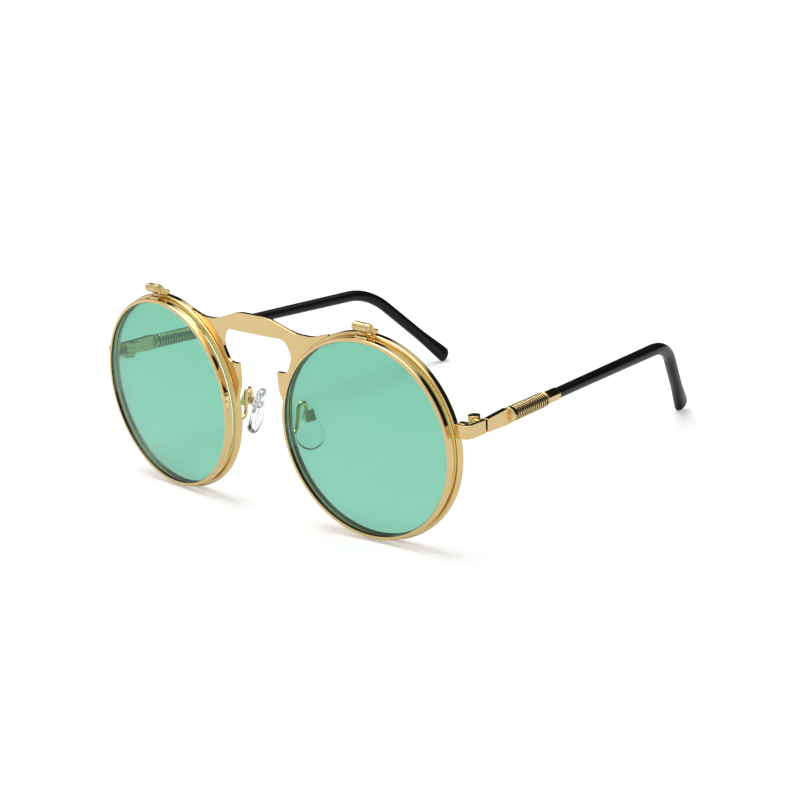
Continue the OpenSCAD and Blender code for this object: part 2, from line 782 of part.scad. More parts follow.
module after_bend() {
    translate([0, bend_r, bend_start]) rotate([-bend_angle, 0, 0]) translate([0, -bend_r, 0]) children();
}

// The temple's own metal: a flat lug, its collar, the rod in the coil and the core
module temple_lug() {
    taper_at = coil_start - collar_t - lug_taper;
    collar_mid = coil_start - collar_t / 2;
    neck = coil_r - seam_gap / 2;
    outline = rounded(
        [
            [seam_gap, -lug_front_h / 2], [taper_at, -lug_back_h / 2],
            [collar_mid, -neck], [collar_mid, neck],
            [taper_at, lug_back_h / 2], [seam_gap, lug_front_h / 2]
        ],
        [0.15, 0.6, 0.1, 0.1, 0.6, 0.15]
    );
    color(GOLD) union() {
        temple() translate([temple_offset - lug_t / 2, 0, 0])
            rotate([90, 0, 90]) linear_extrude(lug_t) polygon(outline);
        temple_line() translate([0, 0, coil_start - collar_t])
            cylinder(r = coil_r, h = collar_t, $fn = small_fn);
        temple_line() translate([0, 0, collar_mid])
            cylinder(r = rod_r, h = coil_l + collar_t / 2, $fn = small_fn);
        temple_line() core_path(core_r, coil_end - past, core_past_bend);
    }
}

// The coil's centre line, unrolled: distance round the rod, then along it
function coil_unrolled() =
    let (
        bend = coil_wire,
        straight = coil_wire,
        long = coil_l - 2 * joint_gap,
        round = 2 * PI * (coil_r - coil_wire / 2),
        total = round * coil_turns + 2 * bend,
        climb = long - 2 * (straight + bend),
        start = concat(
            [[0, 0]],
            [for (a = [0:45:90]) [bend * (1 - cos(a)), straight + bend * sin(a)]]
        ),
        steps = 8 * coil_turns
    )
    concat(
        start,
        [for (i = [1:steps - 1]) [bend + round * i / 8, straight + bend + climb * i / steps]],
        [for (i = [len(start) - 1:-1:0]) [total, long] - start[i]]
    );

function coil_rings() =
    let (
        mean_r = coil_r - coil_wire / 2,
        unrolled = coil_unrolled(),
        angle = function (p) p.x / mean_r * 180 / PI,
        side = [for (p = unrolled) [cos(angle(p)), sin(angle(p)), 0]],
        path = [for (i = [0:len(unrolled) - 1]) [mean_r * side[i].x, mean_r * side[i].y, unrolled[i].y]]
    )
    tube_rings(path, side, coil_wire / 2, 6);

// The least distance between points of neighbouring turns
function coil_gap(rings) =
    min([for (i = [0:len(rings) - 6], j = [i + 5:min(i + 12, len(rings) - 1)], p = rings[i], q = rings[j])
        norm(p - q)]);

module temple_coil() {
    rings = coil_rings();
    echo(least_gap_between_turns_of_the_coil = coil_gap(rings));
    color(GOLD) temple_line() translate([0, 0, coil_start + joint_gap]) tube(rings);
}

module temple_ferrule() {
    lip = 0.35;
    color(GOLD) temple_line() translate([0, 0, coil_end + joint_gap]) rotate_extrude($fn = small_fn)
        polygon(concat(
            [[core_r + joint_gap, 0]],
            rounded(
                [[ferrule_r - 0.3, 0], [ferrule_r, lip], [ferrule_r, ferrule_l - lip],
                 [sleeve_r + joint_gap + 0.1, ferrule_l]],
                [0.1, 0.2, 0.2, 0]
            ),
            [[sleeve_r + joint_gap, ferrule_l], [sleeve_r + joint_gap, ferrule_l - sleeve_seat],
             [core_r + joint_gap, ferrule_l - sleeve_seat]]
        ));
}

// The sleeve that holds the ear: it swells, bends and spreads into a paddle
module temple_sleeve() {
    swell_start = ferrule_end + sleeve_seat;
    color(BLACK) difference() {
        temple_line() union() {
            translate([0, 0, sleeve_start]) cylinder(r = sleeve_r, h = 2 * sleeve_seat, $fn = small_fn);
            translate([0, 0, swell_start])
                cylinder(r1 = sleeve_r, r2 = sleeve_bend_r, h = bend_start - swell_start, $fn = small_fn);
            rotate([0, 0, bend_roll]) {
                ear_bend(sleeve_bend_r);
                after_bend() lapped_rod(sleeve_bend_r, ear_straight);
                after_bend() translate([0, 0, ear_straight - lap]) paddle();
            }
        }
        temple_line() core_path(core_r + joint_gap, sleeve_start - past, core_past_bend + joint_gap);
    }
}

module paddle() {
    hull() {
        cylinder(r = sleeve_bend_r, h = 2 * lap, $fn = hull_fn);
        for (y = [-paddle_half, paddle_half])
            translate([0, y, paddle_l + lap]) sphere(paddle_edge_r, $fn = hull_fn);
    }
}

// The swan-neck arm and the box that takes the pad
module pad_arm() {
    mid_in = (arm_foot.y + arm_end.y) / 2;
    stand = (mid_in - arm_foot.y) * 0.7;
    route = [
        arm_foot,
        arm_foot + [0, stand, 0.4],
        [arm_foot.x, arm_foot.y + stand * 1.3, (arm_foot.z + arm_end.z) / 2],
        [(arm_foot.x + arm_end.x) / 2, mid_in + 0.2, arm_top_z - 0.5],
        [arm_end.x, arm_end.y - 0.7, arm_top_z],
        [arm_end.x, arm_end.y + 0.2, arm_end.z + arm_rise / 2],
        arm_end
    ];
    path = curve(route, 4);
    side = [for (p = path) [1, 0, 0]];
    outer = [box_w + 2 * box_wall, box_h + 2 * box_wall];
    color(GOLD) union() {
        front() tube(tube_rings(path, side, arm_r, 10));
        pad() translate([0, 0, pad_screw_up]) difference() {
            translate([box_mouth, -outer.x / 2, -outer.y / 2]) cube([box_back - box_mouth, outer.x, outer.y]);
            translate([box_mouth - past, -box_w / 2, -box_h / 2])
                cube([box_back - box_mouth - box_wall + past, box_w, box_h]);
            translate([pad_screw_out, 0, 0]) rotate([90, 0, 0])
                cylinder(r = pad_screw_r + joint_gap, h = 2 * outer.x, center = true, $fn = small_fn);
        }
    }
}

// The clear pad, with the lug that turns on the pad screw
module nose_pad() {
    lug_w = box_w - 2 * side_play;
    low = -pad_l / 2 + pad_low_r;
    high = pad_l / 2 - pad_high_r;
    color(CLEAR) pad() difference() {
        union() {
            hull() for (end = [[low, pad_low_r], [high, pad_high_r]]) {
                translate([0, 0, end[0]]) rotate([0, 90, 0])
                    cylinder(r = end[1], h = pad_t / 3, center = true, $fn = hull_fn);
                translate([0, 0, end[0]]) rotate([0, 90, 0])
                    cylinder(r = end[1] * 0.75, h = pad_t, center = true, $fn = hull_fn);
            }
            translate([pad_screw_out, 0, pad_screw_up]) rotate([90, 0, 0])
                cylinder(r = lug_r, h = lug_w, center = true, $fn = small_fn);
            translate([0, -lug_w / 2, pad_screw_up - lug_r]) cube([pad_screw_out, lug_w, 2 * lug_r]);
        }
        translate([pad_screw_out, 0, pad_screw_up]) rotate([90, 0, 0])
            cylinder(r = pad_screw_r + running_play, h = 2 * lug_w, center = true, $fn = small_fn);
    }
}

module pad_screw() {
    half = box_w / 2 + box_wall;
    shaft = 2 * half + pad_head_h * shaft_in_head;
    color(GOLD) pad() translate([pad_screw_out, 0, pad_screw_up]) rotate([-90, 0, 0]) union() {
        translate([0, 0, -half]) cylinder(r = pad_screw_r, h = shaft, $fn = small_fn);
        translate([0, 0, half + joint_gap]) slotted_head(pad_screw_r * 1.8, pad_head_h);
    }
}

bridge_plate();
fixed_rim();  // fixed_rim_left
mirrored() fixed_rim();  // fixed_rim_right
fixed_lens();  // fixed_lens_left
mirrored() fixed_lens();  // fixed_lens_right
flip_rim();  // flip_rim_left
mirrored() flip_rim();  // flip_rim_right
flip_lens();  // flip_lens_left
mirrored() flip_lens();  // flip_lens_right
flip_bracket();  // flip_bracket_left
mirrored() flip_bracket();  // flip_bracket_right
flip_base();  // flip_base_left
mirrored() flip_base();  // flip_base_right
flip_screw(1);  // flip_screw_left
mirrored() flip_screw(-1);  // flip_screw_right
end_piece();  // end_piece_left
mirrored() end_piece();  // end_piece_right
lock_blocks();  // lock_blocks_left
mirrored() lock_blocks();  // lock_blocks_right
lock_screw();  // lock_screw_left
mirrored() lock_screw();  // lock_screw_right
front_leaf();  // front_leaf_left
mirrored() front_leaf();  // front_leaf_right
folded(left_fold) temple_leaf();  // temple_leaf_left
mirrored() folded(right_fold) temple_leaf();  // temple_leaf_right
temple_screw();  // temple_screw_left
mirrored() temple_screw();  // temple_screw_right
folded(left_fold) temple_lug();  // temple_lug_left
mirrored() folded(right_fold) temple_lug();  // temple_lug_right
folded(left_fold) temple_coil();  // temple_coil_left
mirrored() folded(right_fold) temple_coil();  // temple_coil_right
folded(left_fold) temple_ferrule();  // temple_ferrule_left
mirrored() folded(right_fold) temple_ferrule();  // temple_ferrule_right
folded(left_fold) temple_sleeve();  // temple_sleeve_left
mirrored() folded(right_fold) temple_sleeve();  // temple_sleeve_right
pad_arm();  // pad_arm_left
mirrored() pad_arm();  // pad_arm_right
nose_pad();  // nose_pad_left
mirrored() nose_pad();  // nose_pad_right
pad_screw();  // pad_screw_left
mirrored() pad_screw();  // pad_screw_right
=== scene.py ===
# Flip-up sunglasses: the polished metal, glass and plastic pieces of the pair, and its studio.
import json
from math import asin, atan2, cos, degrees, pi, radians, sin, sqrt, tan

import bpy
from mathutils import Matrix, Vector


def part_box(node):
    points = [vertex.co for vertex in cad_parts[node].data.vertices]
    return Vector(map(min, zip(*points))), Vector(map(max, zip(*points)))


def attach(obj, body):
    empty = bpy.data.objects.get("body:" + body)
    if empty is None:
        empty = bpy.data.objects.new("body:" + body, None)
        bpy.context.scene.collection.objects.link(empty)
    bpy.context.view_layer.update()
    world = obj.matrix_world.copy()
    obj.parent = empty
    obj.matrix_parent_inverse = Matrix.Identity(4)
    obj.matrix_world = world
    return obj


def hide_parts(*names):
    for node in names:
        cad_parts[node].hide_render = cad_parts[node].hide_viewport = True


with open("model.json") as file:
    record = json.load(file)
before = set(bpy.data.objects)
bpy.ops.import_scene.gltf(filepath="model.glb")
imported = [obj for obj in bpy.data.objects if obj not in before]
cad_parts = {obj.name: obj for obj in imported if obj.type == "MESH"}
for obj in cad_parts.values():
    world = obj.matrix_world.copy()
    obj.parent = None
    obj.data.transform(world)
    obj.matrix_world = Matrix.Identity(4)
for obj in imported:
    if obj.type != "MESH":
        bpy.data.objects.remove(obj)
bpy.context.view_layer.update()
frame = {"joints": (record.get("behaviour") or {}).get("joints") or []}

# Pieces are modelled in millimetres, each in the frame of an eye, a temple or a pad,
# and then placed in metres in the frame of the CAD model.
METRES = Matrix.Scale(0.001, 4)
MIRROR = Matrix.Scale(-1, 4, (1, 0, 0))
SIDES = ("left", "right")

# The front: how far the eyes turn back and lean forward
WRAP = 5
LEAN = 2.5

# Rims and lenses: radii from the eye's centre, depths from the face of the flip rim
RIM_FN = 160
FIXED_INNER_R = 26
FIXED_OUTER_R = 27.8
FIXED_FRONT = 2.75
FIXED_DEPTH = 2.2
FIXED_EDGE = 0.5
FIXED_LENS_T = 1.6
FLIP_INNER_R = 25.9
FLIP_OUTER_R = 27
FLIP_DEPTH = 2.1
FLIP_EDGE = 0.42
FLIP_LENS_T = 1.4
LENS_CURVE_R = 260
LENS_PLAY = 0.05
BEVEL_H = 0.5
BEVEL_W = 1
FIXED_MID = FIXED_FRONT + FIXED_DEPTH / 2

# Flip hinges
FLIP_HINGE_TURN = 3.2
FLIP_AXIS_RISE = 2.2
FLIP_AXIS_IN = 1.2
BARREL_R = 1.2
BARREL_L = 2.7
BRACKET_T = 1.2
FOOT_T = 0.6
FOOT_SPREAD = 0.5
WINDOW_EDGE = 0.6
EAR_T = 0.9
EAR_PLAY = 0.05
BASE_T = 1.6
BASE_H = 1.1
BASE_SPREAD = 0.4
FLIP_SCREW_R = 0.6

# Bridge
BRIDGE_T = 1.1
BRIDGE_BEND_R = 200
BRIDGE_IN = 1.18
CREST_Z = 27.8
OPENING_Z = 22.5
CUSP_Z = 13.2
FOOT_Z = 2.4

# End pieces, rim locks and temple hinges
END_RISE = 5.7
END_RUN = 6.6
END_T = 1.1
END_H = 3.5
SEAM = 0.2
LOCK_W = 1.9
LOCK_D = 2.2
LOCK_H = 1.6
LOCK_GAP = 0.3
LOCK_SCREW_R = 0.45
LOCK_SCREW_OUT = 0.25
KNUCKLE_R = 1.6
HINGE_H = 3.8
TEMPLE_SCREW_R = 0.7
KNUCKLE_PLAY = 0.1
LEAF_T = 0.75
LEAF_L = 5.6
LEAF_INSET = 0.3

# Temples: distances back from the hinge
TEMPLE_PITCH = 2.873
LUG_T = 1.5
LUG_L = 12
LUG_FRONT_H = 3.4
LUG_BACK_H = 4.3
COLLAR_L = 0.8
COIL_L = 17
COIL_R = 2.05
COIL_TURNS = 16
COIL_WIRE_R = 0.46
ROD_R = 1.22
FERRULE_L = 7
FERRULE_R = 1.75
FERRULE_LIP_R = 1.95
SLEEVE_IN = 1.6
BEND_AT = 101.8
BEND_ANGLE = 43
BEND_R = 23
BEND_ROLL = 18
EAR_L = 38.3
SLEEVE_R = 1.5
SLEEVE_BEND_R = 1.75
PADDLE_L = 13
PADDLE_T = 1.6
PADDLE_W = 2.6

# Nose pads
PAD_SPLAY = 25
PAD_FLARE = 19
PAD_TILT = 5.6
PAD_L = 13.6
PAD_LOW_R = 3.9
PAD_HIGH_R = 2.7
PAD_T = 2.2
PAD_BOW = 0.35
PAD_SCREW_UP = 2.2
PAD_SCREW_OUT = 2.4
PAD_SCREW_R = 0.4
BOX_W = 1.9
BOX_H = 2.3
BOX_WALL = 0.4
ARM_R = 0.55

# The photograph's camera: its distance, its lens and the point that it looks past
CAMERA_TURN = 43.16
CAMERA_RISE = 16.77
CAMERA_ROLL = -2.92
CAMERA_DISTANCE = 0.54245
CAMERA_LENS = 89.73
CAMERA_AIM = (0, -0.05007, 0.027)
CAMERA_SHIFT = (0.02358, -0.00006)

# An outline is drawn in X and Y: these stand it up with its thickness along X,
# its X going to Y and its Y to Z, or its X along a temple
STANDING = Matrix(((0, 0, 1, 0), (1, 0, 0, 0), (0, 1, 0, 0), (0, 0, 0, 1)))
BACK_ALONG = Matrix(((0, 0, 1, 0), (0, -1, 0, 0), (1, 0, 0, 0), (0, 0, 0, 1)))


def turn(axis, angle):
    return Matrix.Rotation(radians(angle), 4, axis)


def shift(x, y, z):
    return Matrix.Translation((x, y, z))


# The frames in which the pieces are modelled, all of the wearer's left side
JOINTS = {joint["name"]: joint for joint in frame["joints"]}


def joint_place(name):
    return Matrix.Translation(Vector(JOINTS[name]["pos_m"]) * 1000)


def middle(node):
    low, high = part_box(node)
    return (low + high) * 500


TILT = turn("X", LEAN) @ turn("Z", WRAP)
BACKWARD = turn("X", -90)
EYE = Matrix.Translation(middle("fixed_rim_left") - TILT @ Vector((0, FIXED_MID, 0))) @ TILT
EYE_X = EYE.translation.x
FRONT = shift(0, EYE.translation.y, EYE.translation.z) @ turn("X", LEAN)
RING = EYE @ BACKWARD
FLIP_AXIS = joint_place("flip_left_lift") @ TILT @ turn("Y", FLIP_HINGE_TURN)
FLIP_AXIS_R = FIXED_OUTER_R + FLIP_AXIS_RISE
HINGE = joint_place("temple_left_fold")
TEMPLE_OFFSET = KNUCKLE_R + LEAF_T + LUG_T / 2
PAD = (
    joint_place("pad_left_rock")
    @ turn("X", LEAN) @ turn("Z", -PAD_SPLAY) @ turn("Y", -PAD_FLARE) @ turn("X", PAD_TILT)
    @ shift(-PAD_SCREW_OUT, 0, -PAD_SCREW_UP)
)
END_ROOT = FRONT.inverted() @ EYE @ Vector(
    (sqrt(FIXED_OUTER_R**2 - END_RISE**2), FIXED_FRONT + END_T / 2, END_RISE)
)
LOCK = (
    HINGE @ shift(END_ROOT.x - HINGE.translation.x, -END_RUN, 0) @ turn("Z", WRAP)
    @ shift(0, END_T / 2, 0)
)


def temple_place(side, along=False):
    """A temple's own frame, folded in as far as it is from the open end of its joint's range."""
    fold = -JOINTS[f"temple_{side}_fold"]["range_deg"][0]
    place = HINGE @ turn("Z", fold) @ turn("X", -TEMPLE_PITCH)
    return place @ shift(TEMPLE_OFFSET, 0, 0) @ BACKWARD if along else place


# Modelling: each helper leaves one finished mesh, in object mode
def edit(piece):
    """Opens one piece in edit mode, with all of it selected."""
    bpy.ops.object.select_all(action="DESELECT")
    piece.select_set(True)
    bpy.context.view_layer.objects.active = piece
    bpy.ops.object.mode_set(mode="EDIT")
    bpy.ops.mesh.select_all(action="SELECT")


def close_up():
    """Merges doubles, points the faces outwards and leaves edit mode."""
    bpy.ops.mesh.select_all(action="SELECT")
    bpy.ops.mesh.remove_doubles(threshold=0.0005)
    bpy.ops.mesh.normals_make_consistent(inside=False)
    bpy.ops.object.mode_set(mode="OBJECT")
    return bpy.context.object


def draw(points, closed):
    """A chain of edges through the points, each drawn out of the one before."""
    bpy.ops.object.select_all(action="DESELECT")
    bpy.ops.mesh.primitive_plane_add(size=1, enter_editmode=True)
    bpy.ops.mesh.merge(type="CENTER")
    bpy.ops.transform.translate(value=points[0])
    route = list(points) + ([points[0]] if closed else [])
    for here, there in zip(route, route[1:]):
        step = Vector(there) - Vector(here)
        bpy.ops.mesh.extrude_region_move(TRANSFORM_OT_translate={"value": step})
    bpy.ops.mesh.select_all(action="SELECT")
    bpy.ops.mesh.remove_doubles(threshold=0.0005)


def lathe(profile, steps=48, closed=False, opened=0):
    """A profile of (radius, height) points, spun about the Z axis but for an opened angle."""
    draw([(r, 0, z) for r, z in profile], closed)
    bpy.ops.mesh.spin(
        steps=steps, angle=radians(360 - opened), center=(0, 0, 0), axis=(0, 0, 1)
    )
    if opened:
        bpy.ops.mesh.select_all(action="SELECT")
        bpy.ops.mesh.fill_holes(sides=0)
    return close_up()


def plate(outline, thickness, low=None):
    """An outline of (x, y) points, filled and drawn out along Z, about zero or from low."""
    z = -thickness / 2 if low is None else low
    draw([(x, y, z) for x, y in outline], True)
    bpy.ops.mesh.edge_face_add()
    bpy.ops.mesh.extrude_region_move(TRANSFORM_OT_translate={"value": (0, 0, thickness)})
    return close_up()


def block(size, centre):
    bpy.ops.object.select_all(action="DESELECT")
    bpy.ops.mesh.primitive_cube_add(size=1, location=centre, scale=size)
    bpy.ops.object.transform_apply(location=True, rotation=True, scale=True)
    return bpy.context.object


def join(*parts):
    bpy.ops.object.select_all(action="DESELECT")
    for part in parts:
        part.select_set(True)
    bpy.context.view_layer.objects.active = parts[0]
    bpy.ops.object.join()
    return parts[0]


def moved(piece, matrix):
    piece.data.transform(matrix)
    return piece


def reshape(piece, rule):
    """Moves each point of a piece to where a rule says."""
    for vertex in piece.data.vertices:
        vertex.co = rule(vertex.co)
    return piece


def apply(piece, kind, **settings):
    bpy.ops.object.select_all(action="DESELECT")
    piece.select_set(True)
    bpy.context.view_layer.objects.active = piece
    modifier = piece.modifiers.new(kind, kind)
    for name, value in settings.items():
        setattr(modifier, name, value)
    bpy.ops.object.modifier_apply(modifier=modifier.name)
    return piece


def soften(piece, width, segments=2, angle=30):
    """Rounds the edges, as polishing does."""
    return apply(
        piece, "BEVEL", width=width, segments=segments, limit_method="ANGLE",
        angle_limit=radians(angle), use_clamp_overlap=True,
    )


def cut(piece, cutter):
    apply(piece, "BOOLEAN", operation="DIFFERENCE", object=cutter, solver="EXACT")
    bpy.data.objects.remove(cutter)
    return piece


def wire(points, radius):
    """A round wire along the smooth curve that a chain of points draws."""
    curve = bpy.data.curves.new("wire", "CURVE")
    curve.dimensions = "3D"
    curve.bevel_depth = radius
    curve.bevel_resolution = 6
    curve.resolution_u = 8
    curve.use_fill_caps = True
    spline = curve.splines.new("NURBS")
    spline.points.add(len(points) - 1)
    for point, place in zip(spline.points, points):
        point.co = (*place, 1)
    spline.use_endpoint_u = True
    spline.order_u = 4
    piece = bpy.data.objects.new("wire", curve)
    bpy.context.scene.collection.objects.link(piece)
    bpy.ops.object.select_all(action="DESELECT")
    piece.select_set(True)
    bpy.context.view_layer.objects.active = piece
    bpy.ops.object.convert(target="MESH")
    edit(bpy.context.object)
    return close_up()


def arc(centre, radius, first, last, steps):
    """Points of a round stretch of an outline, from one angle to another."""
    turns = [radians(first + (last - first) * i / steps) for i in range(steps + 1)]
    return [(centre[0] + radius * cos(a), centre[1] + radius * sin(a)) for a in turns]


def corner(before, here, after, radius, steps):
    """Points of one rounded corner of an outline."""
    p, q, s = Vector(before), Vector(here), Vector(after)
    if radius == 0:
        return [tuple(q)]
    u = (p - q).normalized()
    v = (s - q).normalized()
    half = u.angle(v) / 2
    centre = q + (u + v).normalized() * radius / sin(half)
    start = q + u * radius / tan(half) - centre
    end = q + v * radius / tan(half) - centre
    first = atan2(start.y, start.x)
    sweep = atan2(start.x * end.y - start.y * end.x, start.dot(end))
    angles = [first + sweep * i / steps for i in range(steps + 1)]
    return [(centre.x + radius * cos(a), centre.y + radius * sin(a)) for a in angles]


def rounded(corners, steps=5):
    """An outline whose corners (x, y, radius) are rounded."""
    outline = []
    for i, (x, y, radius) in enumerate(corners):
        before = corners[i - 1][:2]
        after = corners[(i + 1) % len(corners)][:2]
        outline += corner(before, (x, y), after, radius, steps)
    return outline


# Surfaces: node groups that more than one material uses
def new_group(name, numbers, outputs):
    """An empty node group with numbers as inputs, and its ends."""
    group = bpy.data.node_groups.new(name, "ShaderNodeTree")
    for label, value in numbers.items():
        socket = group.interface.new_socket(label, in_out="INPUT", socket_type="NodeSocketFloat")
        socket.default_value = value
    for label, kind in outputs.items():
        group.interface.new_socket(label, in_out="OUTPUT", socket_type=kind)
    return group, group.nodes.new("NodeGroupInput"), group.nodes.new("NodeGroupOutput")


def add_node(tree, kind, **settings):
    node = tree.nodes.new(kind)
    for name, value in settings.items():
        if name in node.inputs:
            node.inputs[name].default_value = value
        else:
            setattr(node, name, value)
    return node


def handled_surface():
    """Cloudy polish, faint handling marks and a slow change of tone, at two scales."""
    group, given, out = new_group(
        "handled surface",
        {
            "Cloud size": 180, "Mark size": 2600, "Smoothest": 0.1, "Roughest": 0.2,
            "Mark height": 0.02,
        },
        {"Tone": "NodeSocketFloat", "Roughness": "NodeSocketFloat", "Normal": "NodeSocketVector"},
    )
    link = group.links.new
    place = add_node(group, "ShaderNodeTexCoord").outputs["Object"]
    clouds = add_node(group, "ShaderNodeTexNoise", Detail=3.0, Roughness=0.55)
    marks = add_node(group, "ShaderNodeTexNoise", Detail=2.0, Roughness=0.6)
    polish = add_node(group, "ShaderNodeMapRange")
    polish.inputs["From Min"].default_value = 0.3
    polish.inputs["From Max"].default_value = 0.7
    bump = add_node(group, "ShaderNodeBump", Distance=0.0001)
    link(place, clouds.inputs["Vector"])
    link(place, marks.inputs["Vector"])
    link(given.outputs["Cloud size"], clouds.inputs["Scale"])
    link(given.outputs["Mark size"], marks.inputs["Scale"])
    link(clouds.outputs["Fac"], polish.inputs["Value"])
    link(given.outputs["Smoothest"], polish.inputs["To Min"])
    link(given.outputs["Roughest"], polish.inputs["To Max"])
    link(given.outputs["Mark height"], bump.inputs["Strength"])
    link(marks.outputs["Fac"], bump.inputs["Height"])
    link(clouds.outputs["Fac"], out.inputs["Tone"])
    link(polish.outputs["Result"], out.inputs["Roughness"])
    link(bump.outputs["Normal"], out.inputs["Normal"])
    return group


def new_material(name, **constants):
    """A material of one Principled shader, with its constants set on the shader's own sockets."""
    material = bpy.data.materials.new(name)
    material.use_nodes = True
    shader = material.node_tree.nodes["Principled BSDF"]
    for socket, value in constants.items():
        shader.inputs[socket.replace("_", " ")].default_value = value
    return material, material.node_tree, shader


def finish_with(tree, shader, group, colours, **sizes):
    """Gives a shader the roughness, marks and change of tone of a surface group."""
    surface = tree.nodes.new("ShaderNodeGroup")
    surface.node_tree = group
    for name, value in sizes.items():
        surface.inputs[name.replace("_", " ")].default_value = value
    tone = add_node(tree, "ShaderNodeMix", data_type="RGBA")
    tone.inputs[6].default_value = (*colours[0], 1)
    tone.inputs[7].default_value = (*colours[1], 1)
    tree.links.new(surface.outputs["Tone"], tone.inputs["Factor"])
    tree.links.new(tone.outputs[2], shader.inputs["Base Color"])
    tree.links.new(surface.outputs["Roughness"], shader.inputs["Roughness"])
    tree.links.new(surface.outputs["Normal"], shader.inputs["Normal"])


HANDLED = handled_surface()


def polished_gold(name, light, deep, smoothest, roughest):
    material, tree, shader = new_material(name, Metallic=1)
    finish_with(
        tree, shader, HANDLED, (light, deep),
        Smoothest=smoothest, Roughest=roughest, Mark_height=0.03,
    )
    return material


def black_sleeve():
    material, tree, shader = new_material("black acetate", Specular_IOR_Level=0.22)
    finish_with(
        tree, shader, HANDLED, ((0.004, 0.004, 0.005), (0.009, 0.009, 0.011)),
        Smoothest=0.2, Roughest=0.3, Cloud_size=90, Mark_height=0.05,
    )
    return material


def tinted_glass():
    """Green glass whose tint deepens a little towards its top."""
    material, tree, shader = new_material(
        "green tinted glass", Transmission_Weight=1, Roughness=0, IOR=1.5
    )
    place = add_node(tree, "ShaderNodeTexCoord")
    parts = add_node(tree, "ShaderNodeSeparateXYZ")
    height = add_node(tree, "ShaderNodeMapRange")
    height.inputs["From Min"].default_value = 0.012
    height.inputs["From Max"].default_value = 0.052
    tint = add_node(tree, "ShaderNodeMix", data_type="RGBA")
    tint.inputs[6].default_value = (0.25, 0.60, 0.46, 1)
    tint.inputs[7].default_value = (0.19, 0.54, 0.395, 1)
    tree.links.new(place.outputs["Object"], parts.inputs["Vector"])
    tree.links.new(parts.outputs["Z"], height.inputs["Value"])
    tree.links.new(height.outputs["Result"], tint.inputs["Factor"])
    tree.links.new(tint.outputs[2], shader.inputs["Base Color"])
    return material


def clear_glass():
    material, _, shader = new_material(
        "clear glass", Transmission_Weight=1, Roughness=0, IOR=1.5
    )
    shader.inputs["Base Color"].default_value = (0.98, 0.995, 0.988, 1)
    return material


def clear_silicone():
    material, tree, shader = new_material("clear silicone", Transmission_Weight=1, IOR=1.41)
    finish_with(
        tree, shader, HANDLED, ((0.97, 0.98, 0.98), (0.93, 0.95, 0.95)),
        Smoothest=0.05, Roughest=0.12, Mark_height=0.04,
    )
    return material


GOLD = polished_gold("polished gold plate", (0.90, 0.68, 0.33), (0.84, 0.62, 0.29), 0.05, 0.1)
SCREW_GOLD = polished_gold("gold screw", (0.88, 0.66, 0.33), (0.78, 0.58, 0.28), 0.1, 0.2)
# Near-black gold that stands in for shade: painted shade on rims' inner walls, bracket windows and
# between coil turns
PAINTED_SHADE_GOLD = polished_gold(
    "gold with painted shade", (0.05, 0.036, 0.015), (0.03, 0.02, 0.008), 0.3, 0.42
)
COIL_GOLD = polished_gold("gold wire", (0.95, 0.72, 0.36), (0.86, 0.64, 0.30), 0.05, 0.1)
SLEEVE = black_sleeve()
TINTED = tinted_glass()
CLEAR = clear_glass()
SILICONE = clear_silicone()


# Rims and lenses
def bevelled(r, middle_z):
    """The section of a lens's bevel and of the groove that takes it."""
    return [(r, middle_z - BEVEL_W / 2), (r + BEVEL_H, middle_z), (r, middle_z + BEVEL_W / 2)]


def rim(inner, outer, near, depth, edge, opened=0):
    """A rim: a flat outer wall between rounded edges, and the groove for its lens inside."""
    far = near + depth
    wall = rounded([
        (inner, near, edge / 2), (outer, near, edge), (outer, far, edge), (inner, far, edge / 2),
    ], 6)
    groove = reversed(bevelled(inner, near + depth / 2))
    return lathe(wall + list(groove), RIM_FN, closed=True, opened=opened)


def fixed_rim():
    """The fixed rim is split at the height of its end piece, where the lock closes it."""
    split = 2 * degrees(asin(LOCK_GAP / 2 / FIXED_OUTER_R))
    ring = rim(FIXED_INNER_R, FIXED_OUTER_R, FIXED_FRONT, FIXED_DEPTH, FIXED_EDGE, split)
    start = degrees(asin(END_RISE / FIXED_OUTER_R))
    return moved(ring, turn("Z", -start + split / 2))


def flip_rim():
    return rim(FLIP_INNER_R, FLIP_OUTER_R, 0, FLIP_DEPTH, FLIP_EDGE)


def lens(inner, middle_z, thickness, rings=16):
    """A lens: two shallow domes, and the bevel round its edge that sits in the rim's groove."""
    edge = inner - LENS_PLAY

    def rise(r):
        return sqrt(LENS_CURVE_R**2 - r**2) - sqrt(LENS_CURVE_R**2 - edge**2)

    radii = [edge * i / rings for i in range(rings + 1)]
    front = [(r, middle_z - thickness / 2 - rise(r)) for r in radii]
    back = [(r, middle_z + thickness / 2 - rise(r)) for r in reversed(radii)]
    return lathe(front + bevelled(edge, middle_z) + back, RIM_FN)


def fixed_lens():
    return lens(FIXED_INNER_R, FIXED_MID, FIXED_LENS_T)


def flip_lens():
    return lens(FLIP_INNER_R, FLIP_DEPTH / 2, FLIP_LENS_T)


# Bridge
def rim_at(z):
    """The nose side of the fixed rim, at a height above the eye's centre."""
    return EYE_X - sqrt(FIXED_OUTER_R**2 - z**2)


